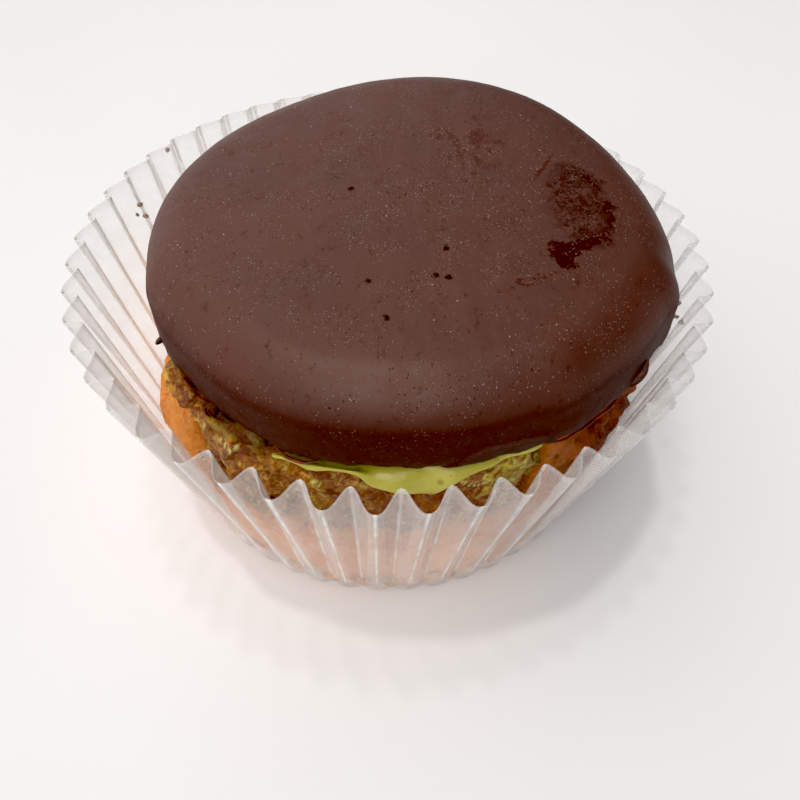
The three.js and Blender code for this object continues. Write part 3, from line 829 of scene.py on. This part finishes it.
def make_cream():
    """The sheet of cream, which runs out over the filling at the front and hangs down."""
    rings = [(CREAM_RADIUS - 2, CREAM_BOTTOM)]
    rings += [(CREAM_RADIUS - 0.8, CREAM_BOTTOM), (CREAM_RADIUS - 0.4, CREAM_BOTTOM + 0.06)]
    rings += [(CREAM_RADIUS, CREAM_BOTTOM + 0.35), (CREAM_RADIUS - 0.3, CREAM_TOP - 0.1)]
    rings += [(CREAM_RADIUS - 1.4, CREAM_TOP), (CREAM_RADIUS - 3, CREAM_TOP)]
    rings = [(0, CREAM_BOTTOM), *rounded(rings, 0.07, 1), (0, CREAM_TOP)]
    cream = spin_up("green_nut_cream", rings, 600)

    def spread(x, y, z):
        degrees = degrees_of(x, y)
        radius = np.hypot(x, y)
        lip = span(degrees, *CREAM_LIP)
        at_edge = ease(radius, CREAM_RADIUS - 1.6, CREAM_RADIUS - 0.5)
        outward = np.clip((radius - CREAM_RADIUS + 0.9) / 0.9, 0, 1)
        wavy = ripples(np.radians(degrees), CREAM_RIPPLES)
        reach = CREAM_LIP_INNER + (CREAM_LIP_OUTER - CREAM_LIP_INNER + wavy) * outward
        reach = reach - 0.2 * span(degrees, 286, 304, 8)
        grown = radius + (reach - radius) * lip * at_edge
        drop = cream_hang(degrees)
        under = np.clip((CREAM_TOP - z) / (CREAM_TOP - CREAM_BOTTOM), 0, 1)
        hanging = ease(radius, CREAM_RADIUS - 0.75, CREAM_RADIUS - 0.55) * under
        swell = 0.8 * np.sin(math.pi * under) * np.minimum(drop / 3, 1) * hanging
        tongue = span(degrees, *CREAM_TONGUE) * lip
        raised = tongue * (0.75 * ease(grown, 31.6, 32.5) - 0.45 * hill(grown - CREAM_GROOVE, 1.2))
        level = z - drop * hanging + raised * (1 - 0.4 * under)
        return polar(grown + swell, degrees, level)

    def ripple(x, y, z):
        shown = ease(np.hypot(x, y), 27, 30)
        rough = 0.09 * roughness_at(x, y, z, 2.4, 3) * shown
        return pushed_out(x, y, z, np.arctan2(y, x), rough, 0.5 * rough)

    reshape(cream, spread)
    reshape(cream, ripple)
    smooth_faces(cream, 80)
    finish_piece(cream, cream_finish(), "nut_cream", "pistachio_cream")


def lid_profile():
    """The lid's points from underside to crown: rounded foot, upright side, round shoulder."""
    foot = [
        (LID_RADIUS - LID_FOOT * (1 - math.cos(turn)), LID_FOOT * (1 - math.sin(turn)))
        for turn in np.linspace(math.pi / 2, 0.1, 16)
    ]
    side = [(LID_RADIUS, height) for height in np.linspace(LID_FOOT, LID_THICKNESS - LID_SHOULDER, 12)]
    inner = LID_RADIUS - LID_SHOULDER
    shoulder = [
        (inner + LID_SHOULDER * math.cos(turn), LID_THICKNESS - LID_SHOULDER * (1 - math.sin(turn)))
        for turn in np.linspace(0.05, math.pi / 2, 26)
    ]
    crown = [(inner * share, LID_THICKNESS) for share in np.linspace(0.98, 0, 36)]
    return [(0, 0), *foot, *side, *shoulder, *crown]


def lid_outline(degrees):
    """How much further out than its radius the lid reaches."""
    turn = np.radians(degrees)
    waves = sum(c * np.cos(n * turn) + s * np.sin(n * turn) for n, c, s in LID_WAVES)
    return waves + sum(bulge * lobe(degrees, at, width) for at, width, bulge, _ in LID_LOBES)


def on_flake(degrees, height):
    """1 on the second layer of coat at the lid's front edge, by height over its underside."""
    border = by_angle(degrees, LID_FLAKE)
    inside = span(degrees, LID_FLAKE[0][0], LID_FLAKE[-1][0], 1)
    return inside * ease(border - height, -0.12, 0.12)


def in_slots(degrees, height):
    """1 in the slots along the lid's lower edge, which taper to their ends."""
    reach = 0
    for start, end, middle in LID_SLOTS:
        half = 0.42 * np.sqrt(np.clip(1 - ((2 * degrees - start - end) / (end - start)) ** 2, 0, 1))
        reach = np.maximum(reach, ease(half - np.abs(height - middle), -0.08, 0.12) * (half > 0))
    return reach


def make_lid():
    """The coated biscuit: bulging and hanging in places, notched and slotted at its foot."""
    lid = spin_up("chocolate_coated_biscuit", lid_profile(), 720)
    even_x, even_y, even_z = points_of(lid).T
    even_degrees = degrees_of(even_x, even_y)
    layer = on_flake(even_degrees, even_z) * (np.hypot(even_x, even_y) > LID_RADIUS - LID_FOOT)
    slotted = in_slots(even_degrees, even_z)

    def coat(x, y, z):
        degrees = degrees_of(x, y)
        radius = np.hypot(x, y)
        share = radius / LID_RADIUS
        outer = ease(radius, LID_RADIUS - LID_FOOT, LID_RADIUS - 1)
        hang = sum(drop * lobe(degrees, at, width) for at, width, _, drop in LID_LOBES)
        hang = hang + ripples(np.radians(degrees), LID_RIPPLES)
        low = (z > 0.01) * ease(LID_FOOT - 0.4 - z, 0, 0.8)
        notch = sum(depth * lobe(degrees, at, width) for at, width, depth in LID_NOTCHES)
        notch = notch * ease(2.2 - z, 0, 1.2) * outer + LID_SLOT_DEPTH * slotted
        reach = radius + share * lid_outline(degrees) + LID_FLAKE_DEPTH * layer * outer - notch
        sag = LID_DOME * share**4 * np.maximum(0, z - LID_FOOT) / (LID_THICKNESS - LID_FOOT)
        level = LID_BOTTOM + z - sag - low * np.minimum(hang, z * 0.6) * 0.8
        return polar(reach, degrees, level, LID_CENTRE)

    def settle(x, y, z):
        rough = 0.1 * roughness_at(x, y, z, 9, 2) + 0.04 * roughness_at(x, y, z, 2.2, 2)
        turn = np.arctan2(y - LID_CENTRE[1], x - LID_CENTRE[0])
        side = ease(np.hypot(x, y), 24, 32)
        edge = side * ease(LID_BOTTOM + 4 - z, 0, 2)
        rough = rough + 0.12 * roughness_at(x, y, z, 1.3, 3) * edge
        up = (z > LID_BOTTOM + 3) * (1 - side)
        return pushed_out(x, y, z, turn, rough * side, rough * up)

    reshape(lid, coat)
    reshape(lid, settle)
    add_values(lid, "layer", layer)
    add_values(lid, "slot", slotted)
    smooth_faces(lid, 80)
    chocolate = chocolate_finish()
    finish_piece(lid, chocolate, "dark_chocolate", "chocolate_lid")
    make_coat_edges(chocolate)


def strand(name, places, radii):
    """A tapering strand of coat through a few places."""
    deselect_all()
    bpy.ops.curve.primitive_nurbs_path_add(location=(0, 0, 0))
    piece = bpy.context.object
    piece.name = piece.data.name = name
    spline = piece.data.splines[0]
    spline.points.add(len(places) - len(spline.points))
    for point, place, radius in zip(spline.points, places, radii):
        point.co = (*[value * MM for value in place], 1)
        point.radius = radius
    spline.order_u = 3
    spline.use_endpoint_u = True
    piece.data.resolution_u = 6
    piece.data.bevel_depth = MM
    piece.data.bevel_resolution = 3
    piece.data.use_fill_caps = True
    make_active(piece)
    bpy.ops.object.convert(target="MESH")
    piece = bpy.context.object
    make_active(piece)
    edit_all()
    bpy.ops.mesh.normals_make_consistent(inside=False)
    bpy.ops.object.mode_set(mode="OBJECT")
    smooth_faces(piece, 70)
    return piece


def lid_edge(degrees, inset, height):
    """A place at the lid's lower edge: inset from its outline, height over its underside."""
    radius = LID_RADIUS + lid_outline(degrees) - inset
    return polar(radius, degrees, LID_BOTTOM + height, LID_CENTRE)


def edge_strand(name, start, end, insets, heights, radii):
    """A strand of coat along the lid's lower edge, between two angles."""
    angles = np.linspace(start, end, len(radii))
    places = [lid_edge(angle, inset, up) for angle, inset, up in zip(angles, insets, heights)]
    return strand(name, places, radii)


# Strands of coat on the lid's lower edge: name, first and last angle, and for each place of
# the strand how far it is in from the outline, its height over the underside and its radius.
COAT_LIPS = (
    (
        "left_coat_lip", 212, 225,
        (0.4, 0.12, 0.02, 0.0, 0.05, 0.15, 0.5),
        (1.1, 0.85, 0.7, 0.65, 0.65, 0.7, 1.0),
        (0.06, 0.14, 0.2, 0.22, 0.2, 0.14, 0.05),
    ),
    (
        "front_coat_lip", 242.5, 251.6,
        (0.5, 0.15, 0.02, 0.0, 0.02, 0.15, 0.5),
        (1.2, 0.9, 0.75, 0.65, 0.6, 0.65, 0.9),
        (0.06, 0.14, 0.2, 0.22, 0.2, 0.14, 0.05),
    ),
    (
        "right_coat_lip", 298, 322,
        (1.0, 0.5, 0.6, 0.5, 0.6, 0.5, 0.7, 0.9),
        (0.4, 0.05, 0.25, 0.08, 0.2, 0.08, 0.3, 0.6),
        (0.1, 0.18, 0.13, 0.18, 0.14, 0.2, 0.14, 0.06),
    ),
)
COAT_DROPS = (
    (
        "coat_nub", 204.4, 206.6,
        (0.8, 0.15, -0.3, -0.6, -0.75),
        (2.5, 2.5, 2.6, 2.7, 2.9),
        (0.42, 0.44, 0.36, 0.24, 0.08),
    ),
    (
        "hanging_coat_drop", 318, 325,
        (0.9, 0.4, 0.05, -0.2, -0.4, -0.1),
        (3.4, 2.7, 2.6, 2.9, 3.6, 4.4),
        (0.2, 0.45, 0.6, 0.62, 0.52, 0.2),
    ),
)


def make_coat_edges(chocolate):
    """Lips, a nub and a drop where the coat ran down over the lid's lower edge."""
    for strands, material in ((COAT_LIPS, thin_coat_finish()), (COAT_DROPS, chocolate)):
        for one in strands:
            finish_piece(edge_strand(*one), material, "dark_chocolate")


def make_filling_core():
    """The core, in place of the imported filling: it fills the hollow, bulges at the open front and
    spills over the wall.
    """
    inside = COOKIE_HOLLOW - 0.4
    wall_top = COOKIE_TOP - 1.5
    rings = [
        (inside - 1.2, COOKIE_FLOOR + 0.3),
        (inside - 0.2, COOKIE_FLOOR + 1.4),
        (inside, COOKIE_FLOOR + 2.2),
        (inside, COOKIE_FLOOR + 6),
        (inside, wall_top - 0.4),
        (inside - 0.1, wall_top + 0.4),
        (inside - 0.4, FILLING_TOP - 0.1),
        (inside - 3, FILLING_TOP),
    ]
    rings = [(0, COOKIE_FLOOR + 0.3), *rounded(rings, 0.3, 1), (0, FILLING_TOP)]
    core = spin_up("shredded_pastry_filling", rings, 540)

    def press(x, y, z):
        degrees = degrees_of(x, y)
        radius = np.hypot(x, y)
        outer = radius > inside - 0.5
        front = span(degrees, OPENING[0] + 6, OPENING[1] - 6, 4) * (outer & (z > COOKIE_FLOOR + 2))
        over = spill_at(degrees, 6) * (outer & (z > wall_top))
        reach = radius + (filling_front(degrees) - radius) * front
        reach = reach + (FILLING_SPILL - reach) * over
        heaped = 1.1 * span(degrees, 224, 250, 6) * ease(radius, inside - 1.5, inside - 0.4)
        level = z + heaped * ease(z, FILLING_TOP - 3, FILLING_TOP)
        return polar(reach, degrees, level)

    def tousle(x, y, z):
        degrees = degrees_of(x - COOKIE_CENTRE[0], y)
        front = span(degrees, OPENING[0] + 4, OPENING[1] - 4, 6)
        shown = np.maximum(front, spill_at(degrees, 5)) * ease(np.hypot(x, y), 27.5, 29.5)
        lumps = roughness_at(x, y, z, 2.6, 2) + 0.5 * roughness_at(x, y, z, 0.9, 3) - 0.6
        return pushed_out(x, y, z, np.radians(degrees), 0.8 * (lumps + 0.35) * shown)

    reshape(core, press)
    reshape(core, tousle)
    smooth_faces(core, 80)
    return core


def filling_front(degrees):
    """How far out the filling reaches at the open front."""
    start, end, blend, depth = FILLING_BULGE
    return FILLING_FRONT + depth * span(degrees, start, end, blend)


def lid_underside(x, y):
    """The height of the lid's underside over a place."""
    away = math.hypot(x - LID_CENTRE[0], y - LID_CENTRE[1])
    rise = min(max(away - LID_RADIUS + LID_FOOT, 0), LID_FOOT)
    return LID_BOTTOM + LID_FOOT - math.sqrt(LID_FOOT**2 - rise**2)


def shred_template():
    """One shred of pastry along +X, one unit long, with rounded ends."""
    deselect_all()
    bpy.ops.mesh.primitive_circle_add(
        vertices=6,
        radius=0.2,
        fill_type="NGON",
        location=(-0.5, 0, 0),
        rotation=(0, math.radians(90), 0),
    )
    shred = bpy.context.object
    shred.name = "shred_template"
    settle_place(shred)
    edit_all()
    place = -0.5
    for step, growth in ((0.08, 2.1), (0.22, 1.18), (0.2, 1.0), (0.2, 1.0), (0.22, 0.85), (0.08, 0.48)):
        place += step
        bpy.ops.mesh.extrude_region_move(TRANSFORM_OT_translate={"value": (step, 0, 0)})
        bpy.ops.transform.resize(value=(1, growth, growth), center_override=(place, 0, 0))
    bpy.ops.mesh.select_all(action="SELECT")
    bpy.ops.mesh.fill_holes(sides=8)
    bpy.ops.mesh.normals_make_consistent(inside=False)
    bpy.ops.object.mode_set(mode="OBJECT")
    return shred


def crumb_template():
    """A small lump, about one unit across."""
    deselect_all()
    bpy.ops.mesh.primitive_ico_sphere_add(subdivisions=2, radius=0.5)
    crumb = bpy.context.object
    crumb.name = "crumb_template"
    points = mesh_points(crumb)
    rough = roughness_at(*points.T, 0.45, 3, seed=4)
    set_mesh_points(crumb, points * (1 + 0.5 * rough)[:, None])
    return crumb


def joined_copies(name, template, copies):
    """One mesh from many copies of a template: each copy is (points, tint)."""
    faces = [tuple(face.vertices) for face in template.data.polygons]
    count = len(template.data.vertices)
    places = np.concatenate([points for points, _ in copies])
    all_faces = [tuple(v + count * i for v in face) for i in range(len(copies)) for face in faces]
    mesh = bpy.data.meshes.new(name)
    mesh.from_pydata((places * MM).tolist(), [], all_faces)
    tints = mesh.attributes.new("tint", "FLOAT_COLOR", "POINT")
    tints.data.foreach_set("color", np.repeat([tint for _, tint in copies], count, axis=0).ravel())
    piece = bpy.data.objects.new(name, mesh)
    bpy.context.scene.collection.objects.link(piece)
    smooth_faces(piece, 70)
    return piece


def placed(points, turn, place):
    """A template's points, turned and moved."""
    return points @ np.array(Euler(turn).to_matrix()).T + np.array(place)


def side_turn(draw, degrees, lean=0.9):
    """Lays a piece against the side of the filling, at a random slant."""
    slant = Matrix.Rotation((draw.random() - 0.5) * math.pi * lean, 3, "X")
    out = Matrix.Rotation((draw.random() - 0.5) * 0.9, 3, "Y")
    roll = Matrix.Rotation((draw.random() - 0.5) * 0.8, 3, "Z")
    around = Matrix.Rotation(math.radians(degrees) + math.pi / 2, 3, "Z")
    flat = Matrix.Rotation((draw.random() - 0.5) * math.pi * lean, 3, "Y")
    return (around @ flat @ out @ roll @ slant).to_euler()


# Tints of the filling's shreds and crumbs: (colour, how often).
GOLDEN = (
    ((202, 138, 44), 3), ((186, 116, 32), 4), ((168, 98, 24), 3), ((152, 80, 18), 3),
    ((222, 170, 78), 2), ((180, 132, 36), 2), ((226, 188, 98), 1), ((126, 58, 12), 2),
)
BROWN = (
    ((142, 72, 20), 3), ((122, 56, 13), 3), ((160, 88, 28), 2), ((100, 42, 10), 2), ((184, 116, 44), 1),
)
GREEN = (((196, 180, 72), 3), ((176, 156, 52), 2), ((212, 200, 108), 2), ((140, 112, 30), 1))
SLIVER = (((222, 206, 124), 2), ((204, 190, 100), 1))
PALE_CRUMB = (((250, 190, 120), 2), ((240, 160, 84), 2), ((252, 206, 144), 1))
DARK_CRUMB = (((112, 78, 62), 1), ((146, 112, 94), 1))


def pick_tint(draw, tints):
    """A tint from a weighted list, a little lighter or darker each time."""
    red, green, blue = draw.choices([tint for tint, _ in tints], [weight for _, weight in tints])[0]
    share = 0.86 + 0.26 * draw.random()
    return colour(*(min(255, value * share) for value in (red, green, blue)))


def tints_at(draw, degrees, height):
    """Brown crumb low in the middle of the front, green nut to its right, golden elsewhere."""
    middle = span(degrees, 258, 289, 8) * ease(height, 28.4, 25.5)
    right = span(degrees, 290, 304, 3) * ease(height, 20, 22.5)
    patch = noise.noise(Vector((degrees / 5.5, height / 2.4, 3)))
    if draw.random() < max(0.85 * middle, 2.2 * patch):
        return BROWN
    if draw.random() < max(0.85 * right, -1.4 * patch - 0.4):
        return GREEN
    return GOLDEN


def front_place(draw, index, proud):
    """A place on the open front, for the piece of a given number."""
    start, end = OPENING
    degrees = start + 2 + (end - start - 5) * ((index * 0.618034 + 0.3 * draw.random()) % 1)
    low = COOKIE_FLOOR + 2.2
    heaped = 2.0 * span(degrees, 224, 249, 5)
    height = low + (FILLING_TOP - 0.2 + heaped - low) * draw.random()
    radius = filling_front(degrees) + proud * draw.random() - 0.6
    if height > FILLING_TOP - 0.5:
        radius -= 1.6 * draw.random()
    x, y, _ = polar(radius, degrees, height)
    return degrees, radius, min(height, lid_underside(x, y) - 0.5)


def spill_place(draw, start, end):
    """A place on the spill over the cookie's wall, thinner towards its ends."""
    share = draw.random()
    degrees = start + 8 + (end - start - 9) * share
    out = 0.4 + 0.6 * min(1, 5 * share, 5 * (1 - share))
    radius = FILLING_SPILL - 2.2 + 2.5 * out * draw.random()
    x, y, _ = polar(radius, degrees, 0)
    sink = 3.0 * (1 - ease(share, 0, 0.35))
    top = min(lid_underside(x, y) - 0.5, FILLING_TOP + 1.9 - 1.2 * sink)
    low = FILLING_TOP - 0.9 - 1.2 * sink
    height = low + (top - low) * draw.random()
    return degrees, radius, height


def crumpled(points, draw, amount):
    """A copy's points pushed in and out, differently for every copy."""
    seed = 100 * draw.random()
    return points * (1 + amount * roughness_at(*points.T, 1.1, 2, seed))[:, None]


def random_turn(draw):
    return [draw.random() * 6 for _ in range(3)]


def lump(base, draw, scale, amount, place):
    """A copy of the crumb at a size and place, crumpled and turned at random."""
    turn = random_turn(draw)
    return placed(crumpled(base * np.array(scale), draw, amount), turn, place)


def make_shred(base, draw, degrees, radius, height, longest=4.6):
    """A bent shred, as (points, tint)."""
    length = 1.4 + (longest - 1.4) * draw.random() ** 1.4
    thick = 0.6 + 0.9 * draw.random()
    points = base * np.array([length, thick * 1.25, thick * (0.5 + 0.35 * draw.random())])
    along = points[:, 0] / length
    points = crumpled(points, draw, 0.35)
    points[:, 1] += (draw.random() - 0.5) * length * 0.55 * (0.25 - along**2) * 4
    points[:, 2] += (draw.random() - 0.5) * length * 0.3 * (0.25 - along**2) * 4
    turn = side_turn(draw, degrees)
    tints = tints_at(draw, degrees, height)
    return placed(points, turn, polar(radius, degrees, height)), pick_tint(draw, tints)


# Pale slivers at the open front: (angle, height).
SLIVERS = ((227.6, 27.4), (236.5, 28.6), (250, 23), (297, 20.5), (262, 26.8), (288, 24.5))
# Chopped nuts at the open front: (angle, height, across).
NUTS = (
    (295.2, 25.2, 4.6), (298.6, 25.6, 4.2), (301.8, 24.4, 3.4), (299, 22.4, 3.4), (302.5, 21.4, 2.8),
    (296, 21.8, 3.0), (291.5, 24.6, 2.8), (246, 22.5, 2.4), (233, 25.0, 2.2), (242, 27.0, 2.0),
)


def make_crumb(base, draw, degrees, radius, height, least, most):
    """A crumb between two sizes, as (points, tint)."""
    size = least + (most - least) * draw.random() ** 1.5
    scale = [size * (0.75 + 0.5 * draw.random()) for _ in range(3)]
    turn = random_turn(draw)
    tint = pick_tint(draw, tints_at(draw, degrees, height))
    points = crumpled(base * np.array(scale), draw, 0.4)
    return placed(points, turn, polar(radius, degrees, height)), tint


def press_together(name, pieces):
    """Presses loose pieces into one soft mass, where each spot keeps the nearest piece's tint."""
    places = np.concatenate([mesh_points(piece) for piece in pieces])
    tints = np.concatenate([tints_of(piece) for piece in pieces])
    deselect_all()
    for piece in pieces:
        piece.select_set(True)
    bpy.context.view_layer.objects.active = pieces[0]
    bpy.ops.object.join()
    mass = bpy.context.object
    mass.name = mass.data.name = name
    apply_modifier(mass, "REMESH", mode="VOXEL", voxel_size=PRESSED_GRAIN * MM)
    edit_all()
    bpy.ops.mesh.vertices_smooth(factor=0.5, repeat=2)
    bpy.ops.object.mode_set(mode="OBJECT")
    near = KDTree(len(places))
    for index, place in enumerate(places):
        near.insert(place, index)
    near.balance()
    nearest = [near.find(place)[1] for place in mesh_points(mass)]
    lost = mass.data.attributes.get("tint")
    if lost is not None:
        mass.data.attributes.remove(lost)
    colours = mass.data.attributes.new("tint", "FLOAT_COLOR", "POINT")
    colours.data.foreach_set("color", tints[nearest].ravel())
    x, y, _ = points_of(mass).T
    x = x - COOKIE_CENTRE[0]
    add_values(mass, "sunk", ease(filling_front(degrees_of(x, y)) + 0.25 - np.hypot(x, y), -0.5, 0.8))
    smooth_faces(mass, 180)
    return mass


def tints_of(piece):
    tints = np.empty(len(piece.data.vertices) * 4, np.float32)
    piece.data.attributes["tint"].data.foreach_get("color", tints)
    return tints.reshape(-1, 4)


def make_filling():
    """The core, with shreds, crumbs, slivers and nuts pressed together over its open sides."""
    core = make_filling_core()
    finish_piece(core, shade_finish(), "shredded_pastry", "pastry_filling")

    draw = random.Random(11)
    shred = shred_template()
    crumb = crumb_template()
    shred_base = mesh_points(shred)
    crumb_base = mesh_points(crumb)
    shreds = [make_shred(shred_base, draw, *front_place(draw, i, 0.9)) for i in range(FRONT_SHREDS)]
    crumbs = [
        make_crumb(crumb_base, draw, *front_place(draw, i, 0.7), 0.5, 2.1) for i in range(FRONT_CRUMBS)
    ]
    for start, end, _ in SPILLS:
        for _ in range(PIECES_A_SPILL):
            shreds.append(make_shred(shred_base, draw, *spill_place(draw, start, end), 3.2))
            crumbs.append(make_crumb(crumb_base, draw, *spill_place(draw, start, end), 0.6, 1.7))
    for degrees, height in SLIVERS:
        place = polar(filling_front(degrees) + 0.35, degrees, height)
        points = placed(shred_base * np.array([4.2, 1.15, 0.7]), side_turn(draw, degrees, 0.35), place)
        shreds.append((points, pick_tint(draw, SLIVER)))
    for degrees, height, size in NUTS:
        place = polar(FILLING_FRONT + 0.2 - 0.25 * max(0, 24.5 - height), degrees, height)
        points = lump(crumb_base, draw, (size, size * 0.75, size * 0.85), 0.25, place)
        crumbs.append((points, pick_tint(draw, GREEN)))
    shreds = joined_copies("toasted_pastry_shreds", shred, shreds)
    crumbs = joined_copies("nut_and_pastry_crumbs", crumb, crumbs)
    mass = press_together("toasted_shreds_and_crumbs", (shreds, crumbs))
    finish_piece(mass, crumbly_finish("toasted_shreds_and_crumbs"), "shredded_pastry")
    make_loose_crumbs(crumb, crumb_base)
    bpy.data.objects.remove(shred)
    bpy.data.objects.remove(crumb)


# Clusters of crumbs round the foot of the cookie: (angle, height of the cluster, across a crumb).
CRUMBS_A_CLUSTER = 11
# How much further out they may lie for each millimetre up, a little less than the cup's wall.
CRUMB_SLOPE = 0.2
COOKIE_CRUMBS = (
    (230, 1.0, 1.3), (235, 1.0, 0.9), (256, 1.4, 1.2), (261, 1.1, 0.8), (271, 2.4, 1.5), (281, 3.2, 1.1),
    (290, 2.4, 1.2), (300, 1.1, 1.3), (308, 0.9, 0.9), (265, 1.2, 1.1), (275, 1.3, 1.4), (285, 1.2, 1.0),
    (246, 1.1, 0.8), (120, 1.2, 1.1), (150, 1.1, 0.8), (40, 1.2, 1.0), (350, 1.3, 1.1), (190, 1.2, 0.9),
)
# Crumbs of chocolate on the inside of the cup's wall: (x, y, z).
CHOCOLATE_CRUMBS = (
    (-36.0, 12.0, 31.6), (-35.9, 12.4, 29.5), (-36.4, 11.0, 30.6), (-33.3, 21.2, 34.4),
    (37.9, -3.0, 26.9), (37.8, -4.0, 25.4), (37.4, -6.8, 27.1),
)


def pressed_inside_cup(points):
    """Keeps a crumb's points inside the film near the cup's foot."""
    x, y, z = points.T
    x = x - CUP_BASE_SHIFT
    z = np.maximum(z, CUP_FILM + 0.06)
    curve = np.sqrt(1 - np.clip(1 - z / CUP_CORNER, 0, 1) ** 2)
    reach = CUP_BASE_RADIUS - 1.2 * CUP_BASE_FOLD - CUP_FILM - 0.1
    reach = reach + CRUMB_SLOPE * np.maximum(0, z - CUP_CORNER) - CUP_CORNER * (1 - curve)
    share = np.minimum(1, reach / np.hypot(x, y))
    return np.column_stack((x * share + CUP_BASE_SHIFT, y * share, z))


def make_loose_crumbs(crumb, base):
    """Golden crumbs round the cookie's foot and a few of chocolate on the cup's wall."""
    draw = random.Random(5)
    grains = []
    for degrees, height, size in COOKIE_CRUMBS:
        for _ in range(CRUMBS_A_CLUSTER):
            near = degrees + 3.6 * (draw.random() - 0.5)
            level = 0.6 + height * (0.35 + 0.65 * draw.random())
            radius = COOKIE_FOOT + 0.1 + 0.24 * level - 0.25 * draw.random()
            place = polar(radius, near, level, (CUP_BASE_SHIFT, 0))
            scale = [size * (0.7 + 0.6 * draw.random()) for _ in range(3)]
            points = pressed_inside_cup(lump(base, draw, scale, 0.4, place))
            grains.append((points, pick_tint(draw, PALE_CRUMB)))
    golden = joined_copies("cookie_crumbs", crumb, grains)
    finish_piece(golden, crumbly_finish("golden_crumbs", 0.3), "baked_cookie")
    chips = []
    for place in CHOCOLATE_CRUMBS:
        scale = [0.4 + 0.5 * draw.random() for _ in range(3)]
        chips.append((lump(base, draw, scale, 0.6, place), pick_tint(draw, DARK_CRUMB)))
    dark = joined_copies("chocolate_crumbs", crumb, chips)
    finish_piece(dark, crumbly_finish("dark_crumbs"), "dark_chocolate")


# ---------------------------------------------------------------- camera, floor and light


def make_camera():
    """Looks down on the open front from close by, at about 50 degrees."""
    place = Vector(CAMERA_AT) * MM
    aim = Vector(CAMERA_AIM) * MM
    data = bpy.data.cameras.new("camera")
    data.lens = 36
    data.sensor_width = 36
    data.clip_start = 0.005
    data.clip_end = 20
    camera = bpy.data.objects.new("camera", data)
    camera.location = place
    camera.rotation_euler = (aim - place).to_track_quat("-Z", "Y").to_euler()
    bpy.context.scene.collection.objects.link(camera)
    bpy.context.scene.camera = camera


def make_floor():
    deselect_all()
    bpy.ops.mesh.primitive_plane_add(size=6, location=(0, 0, -0.0001))
    floor = bpy.context.object
    floor.name = "floor"
    settle_place(floor)
    floor.data.materials.append(floor_finish())


def add_area_light(name, place, aim, size, power, tint):
    data = bpy.data.lights.new(name, "AREA")
    data.shape = "DISK"
    data.size = size * MM
    data.energy = power
    data.color = tint
    light = bpy.data.objects.new(name, data)
    light.location = Vector(place) * MM
    light.rotation_euler = (Vector(aim) - Vector(place)).to_track_quat("-Z", "Y").to_euler()
    bpy.context.scene.collection.objects.link(light)


def make_lights():
    """A pale room, darker on the right and in front, with one small ceiling lamp."""
    world = bpy.data.worlds.new("pale_room")
    world.use_nodes = True
    room = Nodes(world.node_tree)
    direction = room.add("ShaderNodeTexCoord").outputs["Generated"]
    across = room.ramp(room.along("X", direction), 0.24, 0.0, ROOM_RIGHT * ROOM_LIGHT, ROOM_LIGHT)
    depth = room.ramp(room.along("Y", direction), -0.7, 0.0, ROOM_FRONT, 1)
    towards = room.add("ShaderNodeVectorMath", {0: direction, 1: CEILING_AT}, operation="DOT_PRODUCT")
    ceiling = room.ramp(towards.outputs["Value"], 0.87, 0.985, 0, CEILING)
    background = room.tree.nodes["Background"]
    background.inputs["Color"].default_value = (0.97, 0.985, 1.0, 1)
    room.plug(background.inputs["Strength"], room.plus(room.times(across, depth), ceiling))
    bpy.context.scene.world = world
    add_area_light("ceiling_lamp", LAMP_AT, (0, 0, 20), 36, LAMP_POWER, (1, 0.985, 0.96))


def set_tones():
    """Plain tones with a slightly cut black, as a small camera gives."""
    settings = bpy.context.scene.view_settings
    settings.view_transform = "Standard"
    settings.use_curve_mapping = True
    settings.curve_mapping.black_level = (BLACK_POINT,) * 3
    settings.curve_mapping.update()
    bpy.context.scene.cycles.transparent_max_bounces = 24


make_camera()
make_cup()
make_cookie()
make_filling()
make_cream()
make_lid()
make_floor()
make_lights()
set_tones()
